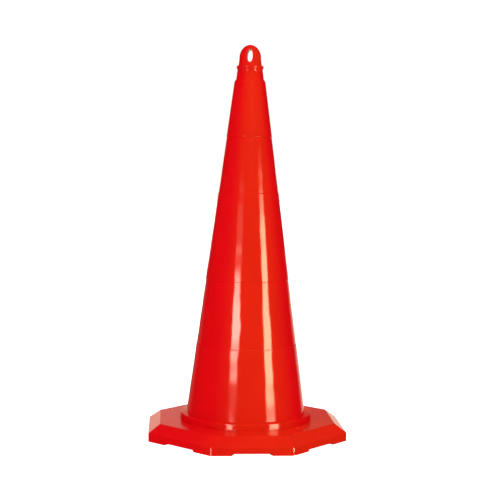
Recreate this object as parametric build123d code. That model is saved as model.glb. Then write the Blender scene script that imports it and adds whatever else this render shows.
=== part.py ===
from build123d import *
import os
from math import atan2, cos, degrees, hypot, radians, sin

# A one metre traffic cone: a hollow tapered body that twist-locks onto an octagonal,
# ballasted base, with a lifting eye that swivels in the neck. Millimetres, +Z up, the
# origin on the floor under the cone's axis, the front flat of the base facing -Y.

# --- whole object ---------------------------------------------------------------------
TOTAL_HEIGHT = 1000.0
WALL = 3.0                      # moulded wall of the body

# --- base -----------------------------------------------------------------------------
BASE_ACROSS = 500.0             # across the front and back flats
BASE_CORNER_CUT = 150.0         # leg of the 45 degree cut at each corner of the square
BASE_CORNER_ROUND = 5.0
BASE_WALL = 4.0
SKIRT_TOP = 21.0                # height of the upright skirt
PLATE_TOP = 42.0                # height of the flat plate that the body stands on
RIDGE_INSET = 29.0              # run of the sloping faces, from the skirt in to the plate
RIDGE_ROUND = 3.0
FOOT_HEIGHT = 5.0               # clear height under the skirt between two feet
FOOT_GAP = 94.0                 # width of that gap at its top
FOOT_GAP_FLARE = 2.0            # how much wider each end of the gap is at the floor
GAP_COUNT = 8

# --- underside ------------------------------------------------------------------------
PAN_BOTTOM = 6.0
PAN_THICK = 3.0
PAN_GAP = 0.4                   # clearance between the pan and the skirt
PAN_MOUTH_GAP = 0.5             # how much wider the pan's opening is than the body's
BALLAST_GAP = 1.0               # clearance between the ballast and the moulding
BOSS_RADIUS = 7.0
BOSS_HOLE_DEPTH = 24.0
SCREW_RADIUS = 2.4
SCREW_LENGTH = 20.0             # under the head
SCREW_HEAD_RADIUS = 4.6
SCREW_HEAD_HEIGHT = 2.8
SCREW_RECESS = (5.0, 1.2, 1.5)  # length, width and depth of the driver's cross
SCREW_GAP = 0.1                 # clearance round the shank in its boss
SCREW_PASS_GAP = 0.4            # clearance round the shank in the pan
PAD_REACH = 46.0                # half width of a foot pad, measured square to its corner
PAD_DEPTH = 22.0
PAD_GAP = 0.3
PAD_STEM_RADIUS = 4.0
PAD_STEM_GAP = 0.1

# --- twist lock -----------------------------------------------------------------------
LUG_COUNT = 6
LUG_ANGLE = 12.0                # degrees round the tube
LUG_REACH = 7.0                 # how far a lug stands out of the tube
LUG_THICK = 4.0
LUG_RUN_GAP = 0.3               # lug to plate, lug to stop
LUG_SIDE_GAP = 0.8              # lug to hub wall
NOTCH_ANGLE = 15.0
LOCK_TURN = 20.0                # turn from locked to the notch
STOP_ANGLE = 2.5
TUBE_GAP = 0.3                  # tube to the plate's opening
TUBE_DEPTH = 12.0               # how far the tube reaches under the plate's top
HUB_WALL = 3.0

# --- collar and cone ------------------------------------------------------------------
COLLAR_HEIGHT = 15.5
COLLAR_REACH = 16.3             # collar's radius over the cone's foot radius
COLLAR_ROUND = 2.0
LEDGE_RISE = 1.0
FLARE_WIDTH = 1.0
FLARE_HEIGHT = 8.0
CONE_FOOT_RADIUS = 152.7
CONE_TOP_RADIUS = 40.2
BAND_DEPTH = 0.8
BAND_STEP = 1.4                 # height of the small slope at each end of a band
UPPER_BAND_DROP = 137.0         # from the top of the cone down to the upper band
UPPER_BAND_HEIGHT = 144.0
LOWER_BAND_RISE = 175.5         # from the foot of the cone up to the lower band
LOWER_BAND_HEIGHT = 168.0

# --- shoulder and neck ----------------------------------------------------------------
SHOULDER_HEIGHT = 9.0
SHOULDER_BULGE = 1.0
SHOULDER_DROP = 1.5             # how much lower the shoulder's inside lies
NECK_FOOT_RADIUS = 35.4
NECK_TOP_RADIUS = 33.1
NECK_HEIGHT = 19.0
LIP_HEIGHT = 7.0
LIP_WIDTH = 5.1                 # the lip that the eye turns in, from the neck's outside

# --- lifting eye ----------------------------------------------------------------------
EYE_TURN = -6.0                 # degrees about +Z at rest
EYE_BAND_INSET = 0.5
EYE_BAND_HEIGHT = 7.0
EYE_RIM_OVERHANG = 1.7
EYE_RIM_HEIGHT = 8.5
EYE_RIM_ROUND = 2.0
EYE_DOME_INSET = 3.1            # from the neck's radius in to the dome's foot
EYE_DOME_TAPER = 2.2            # how much the dome narrows before its crown
EYE_DOME_UPRIGHT = 19.5
EYE_CROWN_HEIGHT = 34.0
EYE_HOLE_HALF_WIDTH = 7.0
EYE_HOLE_HALF_HEIGHT = 16.5
EYE_HOLE_ROUND = 1.5
EYE_HOLE_COVER = 12.5           # material over the hole
SPIGOT_GAP = 0.05               # running clearance in the lip
SPIGOT_LENGTH = 26.0
SPIGOT_WALL = 3.5
SPIGOT_CORE_COVER = 2.0         # solid stretch above the spigot's hollow, below the seat
CLIP_THICK = 2.4
CLIP_SECTION = 3.9
CLIP_MOUTH = 14.0
CLIP_SEAT_GAP = 0.1             # clip to its groove
CLIP_LIP_GAP = 0.3              # clip to the underside of the lip
GROOVE_DEPTH = 1.8

# --- worked out from the above --------------------------------------------------------
BASE_HALF = BASE_ACROSS / 2
BASE_DIAGONAL_HALF = (BASE_ACROSS - BASE_CORNER_CUT) / 2 ** 0.5
CORNER_ALONG = BASE_HALF - BASE_CORNER_CUT      # a corner's place along its flat
SLOPE_ANGLE = atan2(PLATE_TOP - SKIRT_TOP, RIDGE_INSET)
PLATE_UNDER = PLATE_TOP - BASE_WALL
PAN_TOP = PAN_BOTTOM + PAN_THICK

LEDGE_TOP = PLATE_TOP + COLLAR_HEIGHT
CONE_FOOT = LEDGE_TOP + LEDGE_RISE
FLARE_TOP = CONE_FOOT + FLARE_HEIGHT
EYE_HEIGHT = EYE_BAND_HEIGHT + EYE_RIM_HEIGHT + EYE_DOME_UPRIGHT + EYE_CROWN_HEIGHT
NECK_TOP = TOTAL_HEIGHT - EYE_HEIGHT
NECK_FOOT = NECK_TOP - NECK_HEIGHT
CONE_TOP = NECK_FOOT - SHOULDER_HEIGHT
CONE_SLOPE = (CONE_FOOT_RADIUS - CONE_TOP_RADIUS) / (CONE_TOP - CONE_FOOT)

COLLAR_RADIUS = CONE_FOOT_RADIUS + COLLAR_REACH
TUBE_INNER = CONE_FOOT_RADIUS - WALL
TUBE_BOTTOM = PLATE_TOP - TUBE_DEPTH
LUG_OUTER = CONE_FOOT_RADIUS + LUG_REACH
LUG_TOP = PLATE_UNDER - LUG_RUN_GAP
PLATE_MOUTH = CONE_FOOT_RADIUS + TUBE_GAP
HUB_INNER = LUG_OUTER + LUG_SIDE_GAP
HUB_OUTER = HUB_INNER + HUB_WALL
LUG_PITCH = 360.0 / LUG_COUNT
BOSS_CIRCLE = (HUB_OUTER + hypot(BASE_HALF - RIDGE_INSET, CORNER_ALONG)) / 2

LIP_RADIUS = NECK_TOP_RADIUS - LIP_WIDTH
LIP_BOTTOM = NECK_TOP - LIP_HEIGHT
SPIGOT_RADIUS = LIP_RADIUS - SPIGOT_GAP
SPIGOT_BOTTOM = NECK_TOP - SPIGOT_LENGTH
GROOVE_RADIUS = SPIGOT_RADIUS - GROOVE_DEPTH
CLIP_TOP = LIP_BOTTOM - CLIP_LIP_GAP
CLIP_INNER = GROOVE_RADIUS + CLIP_SEAT_GAP


def at(radius, height):
    """A point of a half section, which lies in the XZ plane."""
    return (radius, 0, height)


def turned(edges):
    """The solid that a closed half section sweeps round the Z axis."""
    return revolve(make_face(edges), Axis.Z)


def ring(inner, outer, bottom, top, start=0.0, sweep=360.0):
    """A round ring, or a sector of one, between two radii and two heights."""
    section = Polyline(
        at(inner, bottom), at(outer, bottom), at(outer, top), at(inner, top), close=True
    )
    return Rot(0, 0, start) * revolve(make_face(section), Axis.Z, sweep)


def post(radius, bottom, top, x=0.0, y=0.0):
    """An upright round post, pin or hole."""
    return Pos(x, y, (bottom + top) / 2) * Cylinder(radius, top - bottom)


def cone_radius(height):
    """The cone's outside radius at a height, bands left out."""
    return CONE_FOOT_RADIUS - (height - CONE_FOOT) * CONE_SLOPE


def neck_radius(height):
    """The neck's outside radius at a height."""
    part_way = (height - NECK_FOOT) / NECK_HEIGHT
    return NECK_FOOT_RADIUS + part_way * (NECK_TOP_RADIUS - NECK_FOOT_RADIUS)


def base_corners(inset=0.0):
    """The eight corners of the base's outline, drawn in by an inset on every side."""
    half = BASE_HALF - inset
    along = (BASE_DIAGONAL_HALF - inset) * 2 ** 0.5 - half
    first = [(half, -along), (half, along), (along, half), (-along, half)]
    return first + [(-x, -y) for x, y in first]


def base_outline(inset, height, rounding=0.0):
    """The base's octagonal outline at a height."""
    outline = make_face(Polyline(*base_corners(inset), close=True))
    if rounding > 0:
        outline = fillet(outline.vertices(), rounding)
    return Pos(0, 0, height) * outline


def base_prism(inset, bottom, top, rounding=0.0):
    """An upright octagonal block."""
    return extrude(base_outline(inset, bottom, rounding), amount=top - bottom)


def slope_inset(height, offset=0.0):
    """How far in the sloping faces lie at a height, moved square to themselves."""
    run = RIDGE_INSET * (height - SKIRT_TOP) / (PLATE_TOP - SKIRT_TOP)
    return run + offset / sin(SLOPE_ANGLE)


def base_cavity(offset, bottom, top):
    """What lies inside the skirt and the slopes, an offset in from their outsides."""
    lean = RIDGE_INSET / (PLATE_TOP - SKIRT_TOP)
    knee = SKIRT_TOP + (offset - offset / sin(SLOPE_ANGLE)) / lean
    lower = base_prism(offset, bottom, knee)
    upper = loft(
        [base_outline(offset, knee), base_outline(slope_inset(top, offset), top)], ruled=True
    )
    return lower + upper


def boss_places():
    """Where the eight screws stand, one towards each corner of the base."""
    places = []
    for x, y in base_corners():
        reach = hypot(x, y)
        places.append((x / reach * BOSS_CIRCLE, y / reach * BOSS_CIRCLE))
    return places


def foot_gap_cuts():
    """The shallow gap under the skirt on each side, between two feet."""
    half_top = FOOT_GAP / 2
    half_floor = half_top + FOOT_GAP_FLARE
    section = Polyline(
        (BASE_HALF, -half_floor, 0),
        (BASE_HALF, half_floor, 0),
        (BASE_HALF, half_top, FOOT_HEIGHT),
        (BASE_HALF, -half_top, FOOT_HEIGHT),
        close=True,
    )
    depth = 3 * BASE_WALL
    cut = extrude(make_face(section), amount=depth, both=True, dir=(1, 0, 0))
    return [Rot(0, 0, side * 360.0 / GAP_COUNT) * cut for side in range(GAP_COUNT)]


def lug_centres():
    """The middle of each lug, in degrees, with the body locked."""
    return [(index + 0.5) * LUG_PITCH for index in range(LUG_COUNT)]


def lock_ring():
    """The hub wall under the plate, with the stops that bound each lug's turn."""
    hub = ring(HUB_INNER, HUB_OUTER, PAN_TOP, PLATE_UNDER)
    clear = LUG_ANGLE / 2 + degrees(LUG_RUN_GAP / LUG_OUTER)
    middle = (HUB_INNER + HUB_OUTER) / 2
    for centre in lug_centres():
        for start in (centre - clear - STOP_ANGLE, centre + LOCK_TURN + clear):
            hub += ring(
                PLATE_MOUTH, middle, LUG_TOP - LUG_THICK, PLATE_UNDER, start, STOP_ANGLE
            )
    return hub


def base_shell():
    """The octagonal moulding: skirt, feet, slopes, plate, lock ring and bosses."""
    skirt = base_prism(0, 0, SKIRT_TOP, BASE_CORNER_ROUND)
    slopes = loft(
        [
            base_outline(0, SKIRT_TOP, BASE_CORNER_ROUND),
            base_outline(RIDGE_INSET, PLATE_TOP, BASE_CORNER_ROUND),
        ],
        ruled=True,
    )
    shell = skirt + slopes
    shell = fillet(shell.edges().group_by(Axis.Z)[-1], RIDGE_ROUND)
    shell -= base_cavity(BASE_WALL, 0, PLATE_UNDER)
    shell -= post(PLATE_MOUTH, 0, PLATE_TOP + BASE_WALL)
    for centre in lug_centres():
        start = centre + LOCK_TURN - NOTCH_ANGLE / 2
        shell -= ring(
            TUBE_INNER, HUB_INNER, PLATE_UNDER - 1, PLATE_TOP + 1, start, NOTCH_ANGLE
        )
    for cut in foot_gap_cuts():
        shell -= cut
    shell += lock_ring()
    holes = [
        post(SCREW_RADIUS + SCREW_GAP, PAN_TOP, PAN_TOP + BOSS_HOLE_DEPTH, x, y)
        for x, y in boss_places()
    ]
    for (x, y), hole in zip(boss_places(), holes):
        shell += post(BOSS_RADIUS, PAN_TOP, PLATE_UNDER, x, y) - hole
    return shell


def ballast_ring():
    """The heavy octagonal ring that fills the base between the hub and the skirt."""
    ballast = base_cavity(BASE_WALL + BALLAST_GAP, PAN_TOP, PLATE_UNDER - BALLAST_GAP)
    ballast -= post(HUB_OUTER + BALLAST_GAP, 0, PLATE_TOP)
    for x, y in boss_places():
        ballast -= post(BOSS_RADIUS + BALLAST_GAP, 0, PLATE_TOP, x, y)
    return ballast


def pad_centres():
    """Where each foot pad's stem stands, in from a corner of the base."""
    return [
        (x * (1 - PAD_DEPTH / 2 / hypot(x, y)), y * (1 - PAD_DEPTH / 2 / hypot(x, y)))
        for x, y in base_corners(BASE_WALL + PAD_GAP)
    ]


def base_pan():
    """The closing plate under the ballast, open in the middle so that cones nest."""
    pan = base_prism(BASE_WALL + PAN_GAP, PAN_BOTTOM, PAN_TOP)
    pan -= post(TUBE_INNER + PAN_MOUTH_GAP, 0, PLATE_TOP)
    for x, y in boss_places():
        pan -= post(SCREW_RADIUS + SCREW_PASS_GAP, 0, PLATE_TOP, x, y)
    for x, y in pad_centres():
        pan -= post(PAD_STEM_RADIUS + PAD_STEM_GAP, 0, PLATE_TOP, x, y)
    return pan


def pan_screws():
    """Eight self-tapping screws that hold the pan up against the bosses."""
    head_bottom = PAN_BOTTOM - SCREW_HEAD_HEIGHT
    slot_length, slot_width, slot_depth = SCREW_RECESS
    screws = []
    for x, y in boss_places():
        screw = post(SCREW_RADIUS, PAN_BOTTOM, PAN_BOTTOM + SCREW_LENGTH, x, y)
        screw += post(SCREW_HEAD_RADIUS, head_bottom, PAN_BOTTOM, x, y)
        for turn in (0, 90):
            slot = Box(slot_length, slot_width, 2 * slot_depth)
            screw -= Pos(x, y, head_bottom) * Rot(0, 0, turn) * slot
        screws.append(screw)
    return screws


def foot_pads():
    """A rubber pad inside the skirt at each corner, held by a stem through the pan."""
    band = base_prism(BASE_WALL + PAD_GAP, 0, PAN_BOTTOM)
    band -= base_prism(BASE_WALL + PAD_GAP + PAD_DEPTH, 0, PAN_BOTTOM)
    pads = []
    corners = base_corners()
    for (x, y), (stem_x, stem_y) in zip(corners, pad_centres()):
        reach = Box(BASE_ACROSS, 2 * PAD_REACH, 2 * PAN_BOTTOM)
        reach = Rot(0, 0, degrees(atan2(y, x))) * Pos(BASE_HALF, 0, PAN_BOTTOM) * reach
        pad = band & reach
        pads.append(pad + post(PAD_STEM_RADIUS, 0, PAN_TOP, stem_x, stem_y))
    return pads


def band_points(bottom, height):
    """The outline of a shallow band sunk into the cone, from its foot up."""
    top = bottom + height
    low, high = bottom + BAND_STEP, top - BAND_STEP
    return [
        at(cone_radius(bottom), bottom),
        at(cone_radius(low) - BAND_DEPTH, low),
        at(cone_radius(high) - BAND_DEPTH, high),
        at(cone_radius(top), top),
    ]


def body_outside():
    """The body's outside line, from the collar's foot up to the top of the neck."""
    corner = COLLAR_ROUND * (1 - cos(radians(45)))
    flare_foot = at(CONE_FOOT_RADIUS + FLARE_WIDTH, CONE_FOOT)
    flare_top = at(cone_radius(FLARE_TOP), FLARE_TOP)
    round_foot = at(COLLAR_RADIUS, LEDGE_TOP - COLLAR_ROUND)
    round_top = at(COLLAR_RADIUS - COLLAR_ROUND, LEDGE_TOP)
    lower_band = band_points(CONE_FOOT + LOWER_BAND_RISE, LOWER_BAND_HEIGHT)
    upper_foot = CONE_TOP - UPPER_BAND_DROP - UPPER_BAND_HEIGHT
    upper_band = band_points(upper_foot, UPPER_BAND_HEIGHT)
    cone_top = at(CONE_TOP_RADIUS, CONE_TOP)
    neck_foot = at(NECK_FOOT_RADIUS, NECK_FOOT)
    fall = hypot(CONE_TOP_RADIUS - NECK_FOOT_RADIUS, SHOULDER_HEIGHT)
    bulge = at(
        (CONE_TOP_RADIUS + NECK_FOOT_RADIUS) / 2 + SHOULDER_BULGE * SHOULDER_HEIGHT / fall,
        (CONE_TOP + NECK_FOOT) / 2
        + SHOULDER_BULGE * (CONE_TOP_RADIUS - NECK_FOOT_RADIUS) / fall,
    )
    return [
        Line(at(COLLAR_RADIUS, PLATE_TOP), round_foot),
        ThreePointArc(
            round_foot, at(COLLAR_RADIUS - corner, LEDGE_TOP - corner), round_top
        ),
        Line(round_top, flare_foot),
        TangentArc(flare_top, flare_foot, tangent=(CONE_SLOPE, 0, -1)),
        Polyline(flare_top, *lower_band, *upper_band, cone_top),
        ThreePointArc(cone_top, bulge, neck_foot),
        Line(neck_foot, at(NECK_TOP_RADIUS, NECK_TOP)),
    ]


def body_inside():
    """The body's inside line, from the top of the neck down to the collar's foot."""
    return Polyline(
        at(NECK_TOP_RADIUS, NECK_TOP),
        at(LIP_RADIUS, NECK_TOP),
        at(LIP_RADIUS, LIP_BOTTOM),
        at(neck_radius(LIP_BOTTOM) - WALL, LIP_BOTTOM),
        at(NECK_FOOT_RADIUS - WALL, NECK_FOOT - SHOULDER_DROP),
        at(CONE_TOP_RADIUS - WALL, CONE_TOP - SHOULDER_DROP),
        at(TUBE_INNER, CONE_FOOT),
        at(TUBE_INNER, TUBE_BOTTOM),
        at(CONE_FOOT_RADIUS, TUBE_BOTTOM),
        at(CONE_FOOT_RADIUS, LEDGE_TOP - WALL),
        at(COLLAR_RADIUS - WALL, LEDGE_TOP - WALL),
        at(COLLAR_RADIUS - WALL, PLATE_TOP),
        at(COLLAR_RADIUS, PLATE_TOP),
    )


def cone_body():
    """The hollow body: collar, tube with its lugs, cone with two bands, and neck."""
    body = turned([*body_outside(), body_inside()])
    middle = (TUBE_INNER + CONE_FOOT_RADIUS) / 2
    for centre in lug_centres():
        body += ring(
            middle, LUG_OUTER, LUG_TOP - LUG_THICK, LUG_TOP, centre - LUG_ANGLE / 2, LUG_ANGLE
        )
    return body


def eye_section():
    """The eye's half section: spigot with its groove, band, rim and dome."""
    band = NECK_TOP_RADIUS - EYE_BAND_INSET
    rim = band + EYE_RIM_OVERHANG
    rim_foot = NECK_TOP + EYE_BAND_HEIGHT
    rim_top = rim_foot + EYE_RIM_HEIGHT
    dome = NECK_TOP_RADIUS - EYE_DOME_INSET
    crown = dome - EYE_DOME_TAPER
    crown_foot = rim_top + EYE_DOME_UPRIGHT
    corner = EYE_RIM_ROUND * (1 - cos(radians(45)))
    round_foot = at(rim, rim_top - EYE_RIM_ROUND)
    round_top = at(rim - EYE_RIM_ROUND, rim_top)
    core = SPIGOT_RADIUS - SPIGOT_WALL
    core_top = NECK_TOP - SPIGOT_CORE_COVER
    groove_bottom = CLIP_TOP - CLIP_THICK
    return [
        Polyline(
            at(0, core_top),
            at(core, core_top),
            at(core, SPIGOT_BOTTOM),
            at(SPIGOT_RADIUS, SPIGOT_BOTTOM),
            at(SPIGOT_RADIUS, groove_bottom),
            at(GROOVE_RADIUS, groove_bottom),
            at(GROOVE_RADIUS, CLIP_TOP),
            at(SPIGOT_RADIUS, CLIP_TOP),
            at(SPIGOT_RADIUS, NECK_TOP),
            at(band, NECK_TOP),
            at(band, rim_foot),
            at(rim, rim_foot + EYE_RIM_OVERHANG),
            round_foot,
        ),
        ThreePointArc(round_foot, at(rim - corner, rim_top - corner), round_top),
        Line(round_top, at(dome, rim_top)),
        Spline(
            at(dome, rim_top),
            at(crown, crown_foot),
            at(crown * cos(radians(45)), crown_foot + EYE_CROWN_HEIGHT * sin(radians(45))),
            at(0, TOTAL_HEIGHT),
            tangents=[(-EYE_DOME_TAPER, 0, EYE_DOME_UPRIGHT), (-1, 0, 0)],
        ),
        Line(at(0, TOTAL_HEIGHT), at(0, core_top)),
    ]


def on_hole_wall(point, centre):
    """Whether a point lies on the wall of the eye's oval hole, seen along Y."""
    across = point.X / EYE_HOLE_HALF_WIDTH
    upward = (point.Z - centre) / EYE_HOLE_HALF_HEIGHT
    return abs(hypot(across, upward) - 1) < 0.001


def eye_cap():
    """The lifting eye: a domed head with an oval hole, on a spigot in the neck."""
    centre = TOTAL_HEIGHT - EYE_HOLE_COVER - EYE_HOLE_HALF_HEIGHT
    outline = Ellipse(EYE_HOLE_HALF_WIDTH, EYE_HOLE_HALF_HEIGHT)
    hole = extrude(Plane.XZ * outline, amount=2 * NECK_TOP_RADIUS, both=True)
    cap = turned(eye_section()) - Pos(0, 0, centre) * hole
    mouths = [
        edge
        for edge in cap.edges().filter_by(GeomType.BSPLINE)
        if on_hole_wall(edge.position_at(0.3), centre)
    ]
    cap = fillet(mouths, EYE_HOLE_ROUND)
    return Rot(0, 0, EYE_TURN) * cap


def eye_clip():
    """The split ring in the spigot's groove that keeps the eye in the neck."""
    clip = ring(CLIP_INNER, CLIP_INNER + CLIP_SECTION, CLIP_TOP - CLIP_THICK, CLIP_TOP)
    mouth = Box(CLIP_MOUTH, 2 * NECK_TOP_RADIUS, 3 * CLIP_THICK)
    return clip - Pos(0, NECK_TOP_RADIUS, CLIP_TOP) * mouth


def write(name, solids):
    """Write one node, made of one solid or of several."""
    pieces = solids if isinstance(solids, list) else [solids]
    shape = Compound([solid for piece in pieces for solid in piece.solids()])
    export_step(shape, f"parts/{name}.step")


os.makedirs("parts", exist_ok=True)

write("base_shell", base_shell())
write("ballast_ring", ballast_ring())
write("base_pan", base_pan())
write("pan_screws", pan_screws())
write("foot_pads", foot_pads())
write("cone_body", cone_body())
write("eye_cap", eye_cap())
write("eye_clip", eye_clip())
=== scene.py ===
"""The looks of a one metre traffic cone: a glossy moulded body with two shallow tape bands,
a domed lifting eye in its neck, and an eight-sided ballasted base. All sizes are in
millimetres and become metres where a mesh is made."""

import logging
import math
from dataclasses import dataclass, field
from enum import Enum
from functools import reduce
from typing import Callable, Optional, Sequence, Union

import bmesh
import bpy
from mathutils import Matrix, Vector


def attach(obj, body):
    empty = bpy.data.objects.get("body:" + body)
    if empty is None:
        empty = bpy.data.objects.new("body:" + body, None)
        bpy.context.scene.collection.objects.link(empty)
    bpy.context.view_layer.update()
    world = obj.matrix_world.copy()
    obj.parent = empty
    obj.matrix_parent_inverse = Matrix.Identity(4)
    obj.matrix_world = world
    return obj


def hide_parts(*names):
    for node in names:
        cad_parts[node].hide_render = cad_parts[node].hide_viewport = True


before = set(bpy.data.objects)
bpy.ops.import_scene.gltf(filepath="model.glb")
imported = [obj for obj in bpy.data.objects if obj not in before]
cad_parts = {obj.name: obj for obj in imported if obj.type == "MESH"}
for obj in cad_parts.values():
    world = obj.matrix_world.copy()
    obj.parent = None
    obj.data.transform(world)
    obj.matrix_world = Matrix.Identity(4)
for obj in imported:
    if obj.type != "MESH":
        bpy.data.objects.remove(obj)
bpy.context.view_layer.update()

LOG = logging.getLogger("traffic_cone")
MM = 0.001
CREASE_ANGLE = math.radians(38)
MERGE_DISTANCE = 2e-6

Socket = bpy.types.NodeSocket
Feed = Union[Socket, float, int, tuple, None]
Point = tuple[float, float, float]
Tint = tuple[float, float, float, float]
WHITE: Tint = (1.0, 1.0, 1.0, 1.0)


# --- wiring node trees ----------------------------------------------------------------
class Wiring:
    """Adds nodes to a shader or geometry tree and joins them."""

    def __init__(self, tree: bpy.types.NodeTree) -> None:
        """Takes the tree to work on."""
        self.tree = tree

    def add(self, kind: str, feeds: Optional[dict[str, Feed]] = None, **settings) -> bpy.types.Node:
        """Adds one node.

        Args:
            kind: the node's type.
            feeds: what goes into its inputs, by input name.
            settings: the node's own properties.

        Returns:
            The new node.
        """
        node = self.tree.nodes.new(kind)
        for key, value in settings.items():
            setattr(node, key, value)
        for name, value in (feeds or {}).items():
            sockets = [s for s in node.inputs if s.name == name and s.enabled]
            self.feed(sockets[0], value)
        return node

    def feed(self, socket: Socket, value: Feed) -> None:
        """Links a socket to another one, or sets its constant.

        Args:
            socket: the input to fill.
            value: an output socket or a constant.
        """
        if isinstance(value, bpy.types.NodeSocket):
            self.tree.links.new(value, socket)
        elif value is not None:
            socket.default_value = value

    def math(self, operation: str, *values: Feed, clamp: bool = False) -> Socket:
        """One Math node.

        Args:
            operation: what it does.
            values: its inputs in order.
            clamp: whether the result stays between 0 and 1.

        Returns:
            Its output.
        """
        node = self.tree.nodes.new("ShaderNodeMath")
        node.operation = operation
        node.use_clamp = clamp
        for socket, value in zip(node.inputs, values):
            self.feed(socket, value)
        return node.outputs[0]

    def spread(self, value: Feed, low: float, high: float, start: float = 0.0, end: float = 1.0,
               smooth: bool = True) -> Socket:
        """Maps a value's span onto another span.

        Args:
            value: what is mapped.
            low: the input that gives start.
            high: the input that gives end.
            start: output at low.
            end: output at high.
            smooth: eased rather than straight.

        Returns:
            The mapped value.
        """
        kind = "SMOOTHSTEP" if smooth else "LINEAR"
        node = self.add("ShaderNodeMapRange", interpolation_type=kind)
        for socket, given in zip(node.inputs, (value, low, high, start, end)):
            self.feed(socket, given)
        return node.outputs[0]

    def blend_colours(self, factor: Feed, first: Feed, second: Feed, mode: str = "MIX") -> Socket:
        """Mixes two colours.

        Args:
            factor: share of the second.
            first: colour at 0.
            second: colour at 1.
            mode: how they mix.

        Returns:
            The mixed colour.
        """
        node = self.add("ShaderNodeMix", data_type="RGBA", blend_type=mode)
        for index, value in zip((0, 6, 7), (factor, first, second)):
            self.feed(node.inputs[index], value)
        return node.outputs[2]

    def blend_shaders(self, factor: Feed, first: Socket, second: Socket) -> Socket:
        """Mixes two shaders.

        Args:
            factor: share of the second.
            first: shader at 0.
            second: shader at 1.

        Returns:
            The mixed shader.
        """
        node = self.add("ShaderNodeMixShader")
        for socket, value in zip(node.inputs, (factor, first, second)):
            self.feed(socket, value)
        return node.outputs[0]

    def product(self, *values: Feed) -> Socket:
        """All the values multiplied together."""
        return reduce(lambda one, other: self.math("MULTIPLY", one, other), values)

    def parts(self, vector: Socket) -> bpy.types.NodeOutputs:
        """A vector's X, Y and Z."""
        return self.add("ShaderNodeSeparateXYZ", {"Vector": vector}).outputs

    def outward(self, place: Socket) -> Socket:
        """The level direction away from the Z axis.

        Args:
            place: where.

        Returns:
            The direction, one long.
        """
        flat = self.add("ShaderNodeVectorMath", operation="MULTIPLY")
        self.feed(flat.inputs[0], place)
        self.feed(flat.inputs[1], (1.0, 1.0, 0.0))
        unit = self.add("ShaderNodeVectorMath", operation="NORMALIZE")
        self.feed(unit.inputs[0], flat.outputs[0])
        return unit.outputs[0]

    def noise(self, place: Feed, scale: Feed, detail: float, roughness: float = 0.5,
              distortion: float = 0.0) -> Socket:
        """Smooth random values over a surface.

        Args:
            place: the surface's coordinates.
            scale: lumps in a metre.
            detail: how many finer layers.
            roughness: how strong those are.
            distortion: how much it swirls.

        Returns:
            The values.
        """
        return self.add("ShaderNodeTexNoise", {
            "Vector": place, "Scale": scale, "Detail": detail, "Roughness": roughness,
            "Distortion": distortion}).outputs[0]

    def bump(self, height: Socket, depth: float, normal: Optional[Socket] = None) -> Socket:
        """A normal tilted by a height pattern, whose depth is in millimetres."""
        return self.add("ShaderNodeBump", {"Strength": 1.0, "Distance": depth * MM,
                                           "Height": height, "Normal": normal}).outputs[0]

    def end(self, shader: Socket, kind: str = "ShaderNodeOutputMaterial") -> None:
        """Ends the tree with the shader of its surface."""
        self.feed(self.add(kind).inputs["Surface"], shader)


def bare_wiring(owner: Union[bpy.types.Material, bpy.types.World]) -> Wiring:
    """Turns on the nodes of a material or world and empties its tree."""
    owner.use_nodes = True
    owner.node_tree.nodes.clear()
    return Wiring(owner.node_tree)


def new_group(name: str, kind: str, inputs: dict[str, tuple[str, object]],
              outputs: dict[str, str]) -> tuple[bpy.types.NodeTree, Wiring, bpy.types.Node, bpy.types.Node]:
    """Makes a node group with named sockets.

    Args:
        name: the group's name.
        kind: the tree's type.
        inputs: socket type and default value, by name.
        outputs: socket type, by name.

    Returns:
        The tree, its wiring, and its input and output nodes.
    """
    tree = bpy.data.node_groups.new(name, kind)
    for label, (socket_type, default) in inputs.items():
        socket = tree.interface.new_socket(label, in_out="INPUT", socket_type=socket_type)
        if default is not None:
            socket.default_value = default
    for label, socket_type in outputs.items():
        tree.interface.new_socket(label, in_out="OUTPUT", socket_type=socket_type)
    wiring = Wiring(tree)
    return tree, wiring, tree.nodes.new("NodeGroupInput"), tree.nodes.new("NodeGroupOutput")


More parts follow.
